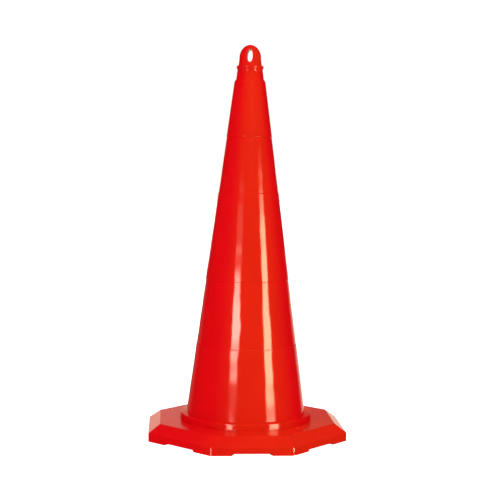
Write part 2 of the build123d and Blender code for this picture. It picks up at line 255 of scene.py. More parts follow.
# --- shared surface effects -----------------------------------------------------------
class SurfaceEffects:
    """The node groups that several finishes share, each built once."""

    FLOAT = "NodeSocketFloat"
    VECTOR = "NodeSocketVector"

    def __init__(self) -> None:
        """Builds every group."""
        self.marks = self.build_marks()
        self.wear = self.build_wear()
        self.dust = self.build_dust()
        self.fade = self.build_painted_lit_side()

    def build_marks(self) -> bpy.types.NodeTree:
        """Fine grain, slow flow of the melt, and dull rubbed spots.

        Returns:
            A group that puts out Grain, Flow and Scuff.
        """
        tree, w, given, out = new_group(
            "moulding_marks", "ShaderNodeTree",
            {"Vector": (self.VECTOR, None), "Grain Scale": (self.FLOAT, 700.0),
             "Flow Scale": (self.FLOAT, 12.0), "Scuff Scale": (self.FLOAT, 60.0)},
            {"Grain": self.FLOAT, "Flow": self.FLOAT, "Scuff": self.FLOAT})
        place = given.outputs["Vector"]
        stretched = w.add("ShaderNodeMapping", {"Vector": place, "Scale": (1.0, 1.0, 0.45)}).outputs[0]
        rubbed = w.noise(place, given.outputs["Scuff Scale"], 5.0, 0.7, 1.2)
        where = w.noise(place, 9.0, 2.0)
        w.feed(out.inputs["Grain"], w.noise(place, given.outputs["Grain Scale"], 3.0, 0.6))
        w.feed(out.inputs["Flow"],
               w.noise(stretched, given.outputs["Flow Scale"], 2.0, distortion=0.6))
        w.feed(out.inputs["Scuff"],
               w.product(w.spread(rubbed, 0.56, 0.72), w.spread(where, 0.5, 0.68)))
        return tree

    def build_wear(self) -> bpy.types.NodeTree:
        """Paler, duller plastic along outward edges.

        Returns:
            A group that puts out Mask.
        """
        tree, w, given, out = new_group(
            "edge_wear", "ShaderNodeTree",
            {"Vector": (self.VECTOR, None), "Start": (self.FLOAT, 0.53), "End": (self.FLOAT, 0.6)},
            {"Mask": self.FLOAT})
        shape = w.add("ShaderNodeNewGeometry")
        edge = w.add("ShaderNodeMapRange", {"Value": shape.outputs["Pointiness"],
                                            "From Min": given.outputs["Start"],
                                            "From Max": given.outputs["End"]})
        broken = w.noise(given.outputs["Vector"], 45.0, 4.0, 0.65)
        w.feed(out.inputs["Mask"], w.product(edge.outputs[0], w.spread(broken, 0.38, 0.66)))
        return tree

    def build_dust(self) -> bpy.types.NodeTree:
        """Thin dust on upward faces, thicker near the ground.

        Returns:
            A group that puts out Mask.
        """
        tree, w, given, out = new_group(
            "settled_dust", "ShaderNodeTree",
            {"Vector": (self.VECTOR, None), "Reach": (self.FLOAT, 0.12)}, {"Mask": self.FLOAT})
        facing = w.parts(w.add("ShaderNodeNewGeometry").outputs["Normal"])["Z"]
        height = w.parts(given.outputs["Vector"])["Z"]
        low = w.math("SUBTRACT", 1.0, w.math("DIVIDE", height, given.outputs["Reach"], clamp=True))
        cloudy = w.noise(given.outputs["Vector"], 28.0, 5.0, 0.7)
        w.feed(out.inputs["Mask"],
               w.product(w.spread(facing, 0.25, 1.0), low, w.spread(cloudy, 0.3, 0.75)))
        return tree

    def build_painted_lit_side(self) -> bpy.types.NodeTree:
        """Painted light: how far one side of the object is tinted as if lit by the front lamps, by bearing
        about its axis.

        Returns:
            A group that puts out Mask.
        """
        tree, w, given, out = new_group(
            "painted_light_side", "ShaderNodeTree",
            {"Vector": (self.VECTOR, None), "Toward": (self.VECTOR, (0.0, -1.0, 0.0)),
             "None Below": (self.FLOAT, 0.3), "Full Above": (self.FLOAT, 0.98)},
            {"Mask": self.FLOAT})
        share = w.add("ShaderNodeVectorMath", operation="DOT_PRODUCT")
        w.feed(share.inputs[0], w.outward(given.outputs["Vector"]))
        w.feed(share.inputs[1], given.outputs["Toward"])
        mask = w.add("ShaderNodeMapRange", {"Value": share.outputs["Value"],
                                            "From Min": given.outputs["None Below"],
                                            "From Max": given.outputs["Full Above"]},
                     interpolation_type="SMOOTHSTEP")
        w.feed(out.inputs["Mask"], mask.outputs[0])
        return tree


def start_material(name: str) -> tuple[bpy.types.Material, Wiring, bpy.types.Node, Socket]:
    """Makes an empty node material.

    Args:
        name: the material's name.

    Returns:
        The material, its wiring, its Principled node and its Object coordinates.
    """
    material = bpy.data.materials.new(name)
    material.use_nodes = True
    w = Wiring(material.node_tree)
    shader = next(n for n in material.node_tree.nodes if n.type == "BSDF_PRINCIPLED")
    place = w.add("ShaderNodeTexCoord").outputs["Object"]
    return material, w, shader, place


# --- finishes -------------------------------------------------------------------------
@dataclass(frozen=True)
class SignalPlastic:
    """Glossy moulded polyethylene in signal red, with painted light: a little more orange on the side where
    the front lamps fall.
    """

    name: str
    # deep is the plastic's own colour; the next tint is painted light, the more orange look of its lit
    # side.
    deep: tuple[float, float, float] = (0.755, 0.0016, 0.0040)
    painted_lit_tint: tuple[float, float, float] = (0.755, 0.0200, 0.0030)
    worn: tuple[float, float, float] = (0.86, 0.16, 0.10)
    dusty: tuple[float, float, float] = (0.62, 0.30, 0.24)
    lit_side_bearing: float = 8.0          # degrees from the front towards +X
    lit_side_none: float = 0.68
    lit_side_full: float = 0.99
    roughness: float = 0.09
    specular: float = 0.5
    grain_depth: float = 0.012         # mm
    flow_depth: float = 0.10           # mm
    dust_amount: float = 0.012
    wear_amount: float = 0.05
    flat_dullness: float = 0.0         # roughness added on level faces

    def build(self, effects: SurfaceEffects) -> bpy.types.Material:
        """Makes the material.

        Args:
            effects: the shared node groups.

        Returns:
            The material.
        """
        material, w, shader, place = start_material(self.name)
        marks = w.add("ShaderNodeGroup", {"Vector": place}, node_tree=effects.marks)
        wear = w.add("ShaderNodeGroup", {"Vector": place}, node_tree=effects.wear)
        dust = w.add("ShaderNodeGroup", {"Vector": place}, node_tree=effects.dust)
        # Painted light: the side towards the given bearing is blended towards the lit, more orange tint.
        bearing = math.radians(self.lit_side_bearing)
        fade = w.add("ShaderNodeGroup", {
            "Vector": place, "Toward": (math.sin(bearing), -math.cos(bearing), 0.0),
            "None Below": self.lit_side_none, "Full Above": self.lit_side_full}, node_tree=effects.fade)
        body = w.blend_colours(fade.outputs["Mask"], (*self.deep, 1.0), (*self.painted_lit_tint, 1.0))
        tone = w.spread(marks.outputs["Flow"], 0.3, 0.7, 0.965, 1.02)
        body = w.blend_colours(1.0, body, tone, "MULTIPLY")
        edge = w.math("MULTIPLY", wear.outputs["Mask"], self.wear_amount)
        body = w.blend_colours(edge, body, (*self.worn, 1.0))
        veil = w.math("MULTIPLY", dust.outputs["Mask"], self.dust_amount)
        body = w.blend_colours(veil, body, (*self.dusty, 1.0))
        w.feed(shader.inputs["Base Color"], body)
        dull = w.math("MULTIPLY_ADD", marks.outputs["Scuff"], 0.16, self.roughness)
        dull = w.math("MULTIPLY_ADD", marks.outputs["Grain"], 0.02, dull)
        dull = w.math("MULTIPLY_ADD", edge, 0.3, dull)
        if self.flat_dullness:
            facing = w.parts(w.add("ShaderNodeNewGeometry").outputs["Normal"])["Z"]
            dull = w.math("MULTIPLY_ADD", w.spread(facing, 0.93, 0.99), self.flat_dullness, dull)
        w.feed(shader.inputs["Roughness"], w.math("MULTIPLY_ADD", veil, 0.5, dull))
        slow = w.bump(marks.outputs["Flow"], self.flow_depth)
        w.feed(shader.inputs["Normal"], w.bump(marks.outputs["Grain"], self.grain_depth, slow))
        shader.inputs["IOR"].default_value = 1.5
        shader.inputs["Specular IOR Level"].default_value = self.specular
        return material


@dataclass(frozen=True)
class GrainedMatter:
    """A dull moulded or cast surface: black plastic, rubber, crumb rubber or nylon."""

    name: str
    dark: tuple[float, float, float]
    light: tuple[float, float, float]
    roughness: float
    grain_scale: float
    grain_depth: float                 # mm
    crumb_scale: float = 0.0           # crumbs per metre, 0 for none

    def build(self, effects: SurfaceEffects) -> bpy.types.Material:
        """Makes the material.

        Args:
            effects: the shared node groups.

        Returns:
            The material.
        """
        material, w, shader, place = start_material(self.name)
        marks = w.add("ShaderNodeGroup", {"Vector": place, "Grain Scale": self.grain_scale},
                      node_tree=effects.marks)
        wear = w.add("ShaderNodeGroup", {"Vector": place}, node_tree=effects.wear)
        share = w.math("MULTIPLY_ADD", marks.outputs["Scuff"], 0.5,
                       w.spread(marks.outputs["Flow"], 0.35, 0.7, 0.0, 0.5))
        height = marks.outputs["Grain"]
        if self.crumb_scale > 0:
            crumbs = w.add("ShaderNodeTexVoronoi", {"Vector": place, "Scale": self.crumb_scale})
            height = w.math("ADD", w.math("MULTIPLY", crumbs.outputs["Distance"], 1.5), height)
            share = w.math("ADD", share, w.spread(crumbs.outputs["Color"], 0.55, 0.9, 0.0, 0.4))
        share = w.math("ADD", share, w.math("MULTIPLY", wear.outputs["Mask"], 0.4), clamp=True)
        w.feed(shader.inputs["Base Color"],
               w.blend_colours(share, (*self.dark, 1.0), (*self.light, 1.0)))
        w.feed(shader.inputs["Roughness"],
               w.math("MULTIPLY_ADD", marks.outputs["Grain"], 0.15, self.roughness, clamp=True))
        w.feed(shader.inputs["Normal"], w.bump(height, self.grain_depth))
        return material


@dataclass(frozen=True)
class ZincSteel:
    """Zinc-plated screw steel with fine turning lines and dull spots."""

    name: str = "zinc_steel"
    bright: tuple[float, float, float] = (0.62, 0.63, 0.62)
    dull: tuple[float, float, float] = (0.40, 0.40, 0.39)
    grain_scale: float = 2600.0
    spot_scale: float = 160.0
    grain_depth: float = 0.02          # mm

    def build(self, effects: SurfaceEffects) -> bpy.types.Material:
        """Makes the material.

        Args:
            effects: the shared node groups.

        Returns:
            The material.
        """
        material, w, shader, place = start_material(self.name)
        marks = w.add("ShaderNodeGroup", {"Vector": place, "Grain Scale": self.grain_scale,
                                          "Flow Scale": self.spot_scale}, node_tree=effects.marks)
        w.feed(shader.inputs["Base Color"],
               w.blend_colours(w.spread(marks.outputs["Flow"], 0.35, 0.65),
                               (*self.bright, 1.0), (*self.dull, 1.0)))
        w.feed(shader.inputs["Roughness"], w.spread(marks.outputs["Grain"], 0.3, 0.7, 0.25, 0.45))
        shader.inputs["Metallic"].default_value = 1.0
        w.feed(shader.inputs["Normal"], w.bump(marks.outputs["Grain"], self.grain_depth))
        return material


# --- outlines and meshes --------------------------------------------------------------
@dataclass(frozen=True)
class Bend:
    """One corner of a half section: distance from the axis, height, and its rounding."""

    radius: float
    height: float
    rounding: float = 0.0


def rounded_outline(bends: Sequence[Bend], closed: bool, spacing: float) -> list[tuple[float, float]]:
    """Rounds the corners of a half section and divides its long runs.

    Args:
        bends: the corners in order.
        closed: whether the last corner joins the first.
        spacing: the longest run that stays undivided.

    Returns:
        Points as (radius, height).
    """
    spots = [Vector((b.radius, b.height)) for b in bends]
    count = len(bends)
    line: list[Vector] = []
    for index, (bend, here) in enumerate(zip(bends, spots)):
        if not closed and index in (0, count - 1):
            line.append(here)
            continue
        back = spots[index - 1] - here
        ahead = spots[(index + 1) % count] - here
        opening = back.angle(ahead)
        if bend.rounding <= 0 or opening > math.radians(179):
            line.append(here)
            continue
        room = min(back.length, ahead.length)
        reach = min(bend.rounding / math.tan(opening / 2), 0.42 * room)
        radius = reach * math.tan(opening / 2)
        back.normalize()
        ahead.normalize()
        middle = here + (back + ahead).normalized() * (radius / math.sin(opening / 2))
        turn = math.pi - opening
        steps = max(2, round(turn / math.radians(15)))
        first, last = here + back * reach - middle, here + ahead * reach - middle
        brace = min(0.4 * reach + 0.1, 0.48 * room - reach)
        if brace > 0.03:
            line.append(here + back * (reach + brace))
        for step in range(steps + 1):
            part = step / steps
            line.append(middle + (first * math.sin((1 - part) * turn) + last * math.sin(part * turn))
                        / math.sin(turn))
        if brace > 0.03:
            line.append(here + ahead * (reach + brace))
    if closed:
        line.append(line[0])
    divided = [line[0]]
    for start, end in zip(line, line[1:]):
        pieces = max(1, math.ceil((end - start).length / spacing))
        divided += [start.lerp(end, n / pieces) for n in range(1, pieces + 1)]
    return [(p.x, p.y) for p in divided]


def quick_curve(start: Vector, control: Vector, end: Vector, steps: int) -> list[Bend]:
    """Points of a smooth curve between two corners, ends included.

    Args:
        start: where it begins.
        control: the point that bends it.
        end: where it stops.
        steps: how many spans.

    Returns:
        The points as corners with no rounding.
    """
    curve = []
    for step in range(steps + 1):
        t = step / steps
        spot = start * (1 - t) ** 2 + control * (2 * t * (1 - t)) + end * t * t
        curve.append(Bend(spot.x, spot.y))
    return curve


def linked(name: str, data: bpy.types.ID) -> bpy.types.Object:
    """Makes an object of some data and puts it in the scene."""
    made = bpy.data.objects.new(name, data)
    bpy.context.scene.collection.objects.link(made)
    return made


def sheet(name: str, corners: Sequence[Sequence[float]]) -> bpy.types.Object:
    """Makes an object of one face from its four corners in metres."""
    mesh = bpy.data.meshes.new(name)
    mesh.from_pydata([tuple(corner) for corner in corners], [], [(0, 1, 2, 3)])
    return linked(name, mesh)


def mesh_piece(name: str, points: Sequence[Point], faces: Sequence[Sequence[int]]) -> bpy.types.Object:
    """Makes an object in metres from points in millimetres.

    Args:
        name: its name.
        points: its vertices.
        faces: its faces as vertex numbers.

    Returns:
        The object, smooth but for its creases.
    """
    mesh = bpy.data.meshes.new(name)
    mesh.from_pydata([(x * MM, y * MM, z * MM) for x, y, z in points], [], list(faces))
    mesh.validate()
    piece = linked(name, mesh)
    shade(piece)
    return piece


def shade(piece: bpy.types.Object) -> None:
    """Smooth shading, broken at creases."""
    piece.data.shade_smooth()
    piece.data.set_sharp_from_angle(angle=CREASE_ANGLE)


def welded(piece: bpy.types.Object, distance: float = MERGE_DISTANCE) -> bpy.types.Object:
    """Merges doubled points and drops faces that have no area.

    Args:
        piece: the object.
        distance: how near points are to be one, in metres.

    Returns:
        The same object.
    """
    work = bmesh.new()
    work.from_mesh(piece.data)
    bmesh.ops.remove_doubles(work, verts=work.verts, dist=distance)
    bmesh.ops.dissolve_degenerate(work, edges=work.edges, dist=distance)
    work.to_mesh(piece.data)
    work.free()
    shade(piece)
    return piece


def dressed(piece: bpy.types.Object, material: bpy.types.Material) -> bpy.types.Object:
    """Gives every face one material.

    Args:
        piece: the object.
        material: what it is made of.

    Returns:
        The same object.
    """
    piece.data.materials.clear()
    piece.data.materials.append(material)
    for polygon in piece.data.polygons:
        polygon.material_index = 0
    return piece


class Combine(Enum):
    """How one solid is combined with another."""

    ADD = "UNION"
    CUT = "DIFFERENCE"


def combined(piece: bpy.types.Object, other: bpy.types.Object, how: Combine) -> bpy.types.Object:
    """Adds or cuts one closed mesh with another, and removes the other.

    Args:
        piece: the mesh that is kept.
        other: the mesh that is added or cut away.
        how: which of the two.

    Returns:
        The kept piece.
    """
    modifier = piece.modifiers.new("combine", "BOOLEAN")
    modifier.operation = how.value
    modifier.solver = "EXACT"
    modifier.object = other
    depsgraph = bpy.context.evaluated_depsgraph_get()
    mesh = bpy.data.meshes.new_from_object(piece.evaluated_get(depsgraph), depsgraph=depsgraph)
    piece.modifiers.clear()
    old = piece.data
    if len(mesh.polygons) > 0.5 * len(old.polygons):
        piece.data = mesh
        bpy.data.meshes.remove(old)
    else:
        LOG.warning("%s: combining failed, left as it was", piece.name)
    bpy.data.objects.remove(other)
    return piece


def swept_section(section: Sequence[tuple[float, float]], start: float, sweep: float,
                  steps: int) -> tuple[list[Point], list[list[int]]]:
    """Sweeps a closed section part of the way round the axis and closes its ends.

    Args:
        section: its points as (radius, height), outside upward.
        start: first bearing in degrees.
        sweep: how far it goes, in degrees.
        steps: spans round the axis.

    Returns:
        Points and faces.
    """
    count = len(section)
    points: list[Point] = []
    for step in range(steps + 1):
        turn = math.radians(start + sweep * step / steps)
        points += [(r * math.cos(turn), r * math.sin(turn), z) for r, z in section]
    faces = [[a * count + b, (a + 1) * count + b, (a + 1) * count + (b + 1) % count,
              a * count + (b + 1) % count] for a in range(steps) for b in range(count)]
    faces.append(list(range(count)))
    faces.append([steps * count + b for b in reversed(range(count))])
    return points, faces


def plain_section(inner: float, outer: float, bottom: float, top: float,
                  rounding: float) -> list[tuple[float, float]]:
    """A rectangle's half section with rounded corners, outside upward.

    Args:
        inner: nearest radius.
        outer: farthest radius.
        bottom: lowest height.
        top: highest height.
        rounding: radius of its corners.

    Returns:
        Its points, the last not repeated.
    """
    bends = [Bend(outer, bottom, rounding), Bend(outer, top, rounding),
             Bend(inner, top, rounding), Bend(inner, bottom, rounding)]
    return rounded_outline(bends, True, 1e6)[:-1]


def joined(parts: Sequence[tuple[list[Point], list[list[int]]]]) -> tuple[list[Point], list[list[int]]]:
    """Puts several closed shells in one list of points and faces."""
    points: list[Point] = []
    faces: list[list[int]] = []
    for part_points, part_faces in parts:
        base = len(points)
        points += part_points
        faces += [[base + n for n in face] for face in part_faces]
    return points, faces


# --- geometry node trees --------------------------------------------------------------
class TurningTrees:
    """The two Geometry Nodes trees: one turns an outline, one repeats a piece."""

    INT = "NodeSocketInt"
    FLOAT = "NodeSocketFloat"
    RIPPLE_GROWS = 0.06                # metres over which the ripple starts
    RIPPLE_FADES = 0.3                 # metres over which it ends
    SEAM_DISTANCE = 4e-6               # metres, how near the turned outline's two ends are to be one

    def __init__(self) -> None:
        """Builds both trees."""
        self.turn = self.build_turn()
        self.repeat = self.build_repeat()

    def build_turn(self) -> bpy.types.NodeTree:
        """Turns the input's points, in order, round the Z axis, with a faint ripple.

        Returns:
            The tree.
        """
        tree, w, given, out = new_group(
            "turned_outline", "GeometryNodeTree",
            {"Geometry": ("NodeSocketGeometry", None), "Segments": (self.INT, 240),
             "Ripple Depth": (self.FLOAT, 0.0), "Ripple Length": (self.FLOAT, 0.04),
             "Ripple Foot": (self.FLOAT, 0.1), "Ripple Head": (self.FLOAT, 0.85),
             "Seed": (self.FLOAT, 3.0), "Material": ("NodeSocketMaterial", None)},
            {"Geometry": "NodeSocketGeometry"})
        outline = given.outputs["Geometry"]
        size = w.add("GeometryNodeAttributeDomainSize", {"Geometry": outline})
        count = size.outputs["Point Count"]
        grid = w.add("GeometryNodeMeshGrid", {
            "Size X": 1.0, "Size Y": 1.0, "Vertices Y": count,
            "Vertices X": w.math("ADD", given.outputs["Segments"], 1.0)})
        spot = w.parts(w.add("GeometryNodeInputPosition").outputs[0])
        turn = w.math("MULTIPLY", w.math("ADD", spot["X"], 0.5), 2 * math.pi)
        number = w.math("ROUND", w.math("MULTIPLY", w.math("ADD", spot["Y"], 0.5),
                                        w.math("SUBTRACT", count, 1.0)))
        sample = w.add("GeometryNodeSampleIndex", {
            "Geometry": outline}, data_type="FLOAT_VECTOR", domain="POINT")
        for socket in sample.inputs:
            if socket.enabled and socket.name == "Value":
                w.feed(socket, w.add("GeometryNodeInputPosition").outputs[0])
            if socket.name == "Index":
                w.feed(socket, number)
        at = w.parts(next(o for o in sample.outputs if o.enabled))
        round_place = w.add("ShaderNodeCombineXYZ", {
            "X": w.math("MULTIPLY", at["X"], w.math("COSINE", turn)),
            "Y": w.math("MULTIPLY", at["X"], w.math("SINE", turn)), "Z": at["Z"]})
        turned = w.add("GeometryNodeSetPosition", {
            "Geometry": grid.outputs["Mesh"], "Position": round_place.outputs[0]})
        merged = w.add("GeometryNodeMergeByDistance", {
            "Geometry": turned.outputs[0], "Distance": self.SEAM_DISTANCE})
        place = w.add("GeometryNodeInputPosition").outputs[0]
        noise = w.add("ShaderNodeTexNoise", {
            "Vector": place, "W": given.outputs["Seed"], "Detail": 0.0,
            "Scale": w.math("DIVIDE", 1.0, given.outputs["Ripple Length"])}, noise_dimensions="4D")
        height = w.parts(place)["Z"]
        low, high = given.outputs["Ripple Foot"], given.outputs["Ripple Head"]
        foot = w.add("ShaderNodeMapRange", {
            "Value": height, "From Min": low, "From Max": w.math("ADD", low, self.RIPPLE_GROWS)})
        head = w.add("ShaderNodeMapRange", {
            "Value": height, "From Min": w.math("SUBTRACT", high, self.RIPPLE_FADES), "From Max": high})
        calm = w.math("MULTIPLY", foot.outputs[0], w.math("SUBTRACT", 1.0, head.outputs[0]))
        swell = w.math("MULTIPLY", w.math("SUBTRACT", noise.outputs[0], 0.5),
                       w.math("MULTIPLY", given.outputs["Ripple Depth"], calm))
        shift = w.add("ShaderNodeVectorMath", operation="SCALE")
        w.feed(shift.inputs[0], w.outward(place))
        w.feed(shift.inputs["Scale"], swell)
        rippled = w.add("GeometryNodeSetPosition", {"Geometry": merged.outputs[0],
                                                    "Offset": shift.outputs[0]})
        self.close(w, rippled.outputs[0], given, out)
        return tree

    def build_repeat(self) -> bpy.types.NodeTree:
        """Repeats the input round the Z axis in pairs, each turned to face outwards.

        Returns:
            The tree.
        """
        tree, w, given, out = new_group(
            "paired_ring", "GeometryNodeTree",
            {"Geometry": ("NodeSocketGeometry", None), "Count": (self.INT, 8),
             "Ring Radius": (self.FLOAT, 0.2), "First Turn": (self.FLOAT, 0.0),
             "Pair Turn": (self.FLOAT, 0.5), "Step Turn": (self.FLOAT, 1.0),
             "Material": ("NodeSocketMaterial", None)},
            {"Geometry": "NodeSocketGeometry"})
        number = w.add("GeometryNodeInputIndex").outputs[0]
        pair = w.math("FLOOR", w.math("DIVIDE", number, 2.0))
        odd = w.math("SUBTRACT", number, w.math("MULTIPLY", pair, 2.0))
        turn = w.math("ADD", w.math("MULTIPLY", pair, given.outputs["Step Turn"]),
                      w.math("ADD", given.outputs["First Turn"],
                             w.math("MULTIPLY", odd, given.outputs["Pair Turn"])))
        radius = given.outputs["Ring Radius"]
        place = w.add("ShaderNodeCombineXYZ", {"X": w.math("MULTIPLY", radius, w.math("COSINE", turn)),
                                               "Y": w.math("MULTIPLY", radius, w.math("SINE", turn))})
        spots = w.add("GeometryNodePoints", {"Count": given.outputs["Count"],
                                             "Position": place.outputs[0]})
        facing = w.add("ShaderNodeCombineXYZ", {"Z": turn})
        copies = w.add("GeometryNodeInstanceOnPoints", {
            "Points": spots.outputs[0], "Instance": given.outputs["Geometry"]})
        rotation = w.add("FunctionNodeEulerToRotation")
        w.feed(rotation.inputs[0], facing.outputs[0])
        w.feed(copies.inputs["Rotation"], rotation.outputs[0])
        self.close(w, copies.outputs[0], given, out)
        return tree

    @staticmethod
    def close(w: Wiring, shape: Socket, given: bpy.types.Node, out: bpy.types.Node) -> None:
        """Ends a tree: real geometry, smooth, in its material.

        Args:
            w: the tree's wiring.
            shape: what was made.
            given: the tree's inputs.
            out: the tree's output node.
        """
        real = w.add("GeometryNodeRealizeInstances", {"Geometry": shape})
        smooth = w.add("GeometryNodeSetShadeSmooth", {"Geometry": real.outputs[0]})
        clad = w.add("GeometryNodeSetMaterial", {"Geometry": smooth.outputs[0],
                                                 "Material": given.outputs["Material"]})
        w.feed(out.inputs["Geometry"], clad.outputs[0])


def run_tree(name: str, mesh: bpy.types.Mesh, tree: bpy.types.NodeTree,
             values: dict[str, object]) -> bpy.types.Object:
    """Runs a Geometry Nodes tree on a mesh and keeps the result as a plain mesh.

    Args:
        name: the new piece's name.
        mesh: what goes in.
        tree: the tree.
        values: its inputs by name.

    Returns:
        The piece, with no modifier.
    """
    piece = linked(name, mesh)
    modifier = piece.modifiers.new("nodes", "NODES")
    modifier.node_group = tree
    for item in tree.interface.items_tree:
        if item.item_type == "SOCKET" and item.in_out == "INPUT" and item.name in values:
            modifier[item.identifier] = values[item.name]
    depsgraph = bpy.context.evaluated_depsgraph_get()
    plain = bpy.data.meshes.new_from_object(piece.evaluated_get(depsgraph), depsgraph=depsgraph)
    piece.modifiers.clear()
    piece.data = plain
    plain.name = name
    bpy.data.meshes.remove(mesh)
    piece.data.set_sharp_from_angle(angle=CREASE_ANGLE)
    return piece


def turned_piece(name: str, outline: Sequence[tuple[float, float]], trees: TurningTrees,
                 values: dict[str, object]) -> bpy.types.Object:
    """Turns a half section into a piece.

    Args:
        name: the piece's name.
        outline: its points as (radius, height), the first repeated last if it is closed.
        trees: the node trees.
        values: the tree's inputs by name.

    Returns:
        The piece.
    """
    mesh = bpy.data.meshes.new(name + "_outline")
    mesh.from_pydata([(r * MM, 0.0, z * MM) for r, z in outline], [], [])
    return run_tree(name, mesh, trees.turn, values)


# --- the body -------------------------------------------------------------------------
@dataclass
class ConeBody:
    """The hollow tapered body: collar, tube with its lugs, cone with two bands, and neck."""

    wall: float = 3.0
    collar_radius: float = 169.0
    collar_draft: float = 0.7          # how much the collar's wall widens and narrows
    collar_round: float = 2.0
    plate_top: float = 42.0
    ledge_top: float = 57.5
    cone_foot: float = 58.5
    cone_top: float = 903.0
    foot_radius: float = 152.7
    top_radius: float = 40.2
    foot_rise: float = 8.0             # the cone's closely divided foot
    foot_steps: int = 8
    bands: tuple[tuple[float, float], ...] = ((234.0, 402.0), (622.0, 766.0))
    band_depth: float = 0.8
    band_step: float = 1.4
    band_round: float = 0.5
    shoulder_bulge: float = 1.0
    neck_foot: tuple[float, float] = (35.4, 912.0)
    neck_top: tuple[float, float] = (33.1, 931.0)
    lip_radius: float = 28.0
    lip_bottom: float = 924.0
    tube_bottom: float = 30.0
    lug_radius: float = 159.7
    lug_heights: tuple[float, float] = (33.7, 37.7)
    lug_angle: float = 12.0
    lug_count: int = 6
    segments: int = 240
    spacing: float = 9.0
    ripple_depth: float = 1.3
    ripple_length: float = 42.0
    ripple_foot: float = 95.0
    ripple_head: float = 860.0
    inner_drop: float = 1.5            # the shoulder's inside lies lower by this

    def radius_at(self, height: float) -> float:
        """The cone's outside radius at a height, bands left out."""
        part = (height - self.cone_foot) / (self.cone_top - self.cone_foot)
        return self.foot_radius + part * (self.top_radius - self.foot_radius)

    def band_bends(self, bottom: float, top: float) -> list[Bend]:
        """The corners of one sunk band, from its foot up."""
        low, high = bottom + self.band_step, top - self.band_step
        return [Bend(self.radius_at(bottom), bottom, self.band_round),
                Bend(self.radius_at(low) - self.band_depth, low, self.band_round),
                Bend(self.radius_at(high) - self.band_depth, high, self.band_round),
                Bend(self.radius_at(top), top, self.band_round)]

    def foot_bends(self) -> list[Bend]:
        """The cone's foot in close steps, from the ledge up."""
        heights = [self.cone_foot + self.foot_rise * n / self.foot_steps
                   for n in range(self.foot_steps + 1)]
        return [Bend(self.radius_at(height), height, 0.0 if n else 0.9)
                for n, height in enumerate(heights)]

    def outline(self) -> list[tuple[float, float]]:
        """The whole half section, outside upward, then the inside down."""
        wall, neck_fall = self.wall, self.neck_top[0] - self.neck_foot[0]
        start = Vector((self.top_radius, self.cone_top))
        end = Vector(self.neck_foot)
        across = (end - start).normalized()
        bulge = (start + end) / 2 + Vector((across.y, -across.x)) * self.shoulder_bulge
        shoulder = quick_curve(start, bulge * 2 - (start + end) / 2, end, 5)
        shoulder[0] = Bend(start.x, start.y, 1.2)
        shoulder[-1] = Bend(end.x, end.y, 0.6)
        up_neck = (self.lip_bottom - self.neck_foot[1]) / (self.neck_top[1] - self.neck_foot[1])
        lip_wall = self.neck_foot[0] + neck_fall * up_neck - wall
        bends = [Bend(self.collar_radius + self.collar_draft, self.plate_top, 0.6),
                 Bend(self.collar_radius - self.collar_draft, self.ledge_top, self.collar_round)]
        bends += self.foot_bends()
        for bottom, top in self.bands:
            bends += self.band_bends(bottom, top)
        bends += shoulder
        bends += [Bend(*self.neck_top, 0.7),
                  Bend(self.lip_radius, self.neck_top[1], 0.6),
                  Bend(self.lip_radius, self.lip_bottom, 0.5),
                  Bend(lip_wall, self.lip_bottom, 0.5),
                  Bend(self.neck_foot[0] - wall, self.neck_foot[1] - self.inner_drop, 1.0),
                  Bend(self.top_radius - wall, self.cone_top - self.inner_drop, 1.0),
                  Bend(self.foot_radius - wall, self.cone_foot, 1.0),
                  Bend(self.foot_radius - wall, self.tube_bottom, 0.6),
                  Bend(self.foot_radius, self.tube_bottom, 0.6),
                  Bend(self.foot_radius, self.ledge_top - wall, 0.8),
                  Bend(self.collar_radius - wall, self.ledge_top - wall, 0.8),
                  Bend(self.collar_radius - wall, self.plate_top, 0.6)]
        return rounded_outline(bends, True, self.spacing)

    def lugs(self, trees: TurningTrees) -> bpy.types.Object:
        """The ring of lugs under the collar that lock the body to the base."""
        section = plain_section(self.foot_radius - 1.4, self.lug_radius, *self.lug_heights, 0.5)
        points, faces = swept_section(section, -self.lug_angle / 2, self.lug_angle, 8)
        one = mesh_piece("lug", points, faces)
        mesh = one.data
        bpy.data.objects.remove(one)
        pitch = 2 * math.pi / self.lug_count
        return run_tree("lug_ring", mesh, trees.repeat, {
            "Count": self.lug_count, "Ring Radius": 0.0, "First Turn": pitch / 2,
            "Pair Turn": pitch, "Step Turn": 2 * pitch})

    def build(self, trees: TurningTrees, material: bpy.types.Material) -> bpy.types.Object:
        """Makes the body.

        Args:
            trees: the node trees.
            material: its plastic.

        Returns:
            The piece.
        """
        body = turned_piece("tapered_body", self.outline(), trees, {
            "Segments": self.segments, "Ripple Depth": self.ripple_depth * MM,
            "Ripple Length": self.ripple_length * MM, "Ripple Foot": self.ripple_foot * MM,
            "Ripple Head": self.ripple_head * MM, "Material": material})
        body = combined(body, self.lugs(trees), Combine.ADD)
        dressed(welded(body), material)
        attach(body, "cone")
        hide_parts("cone_body")
        return body


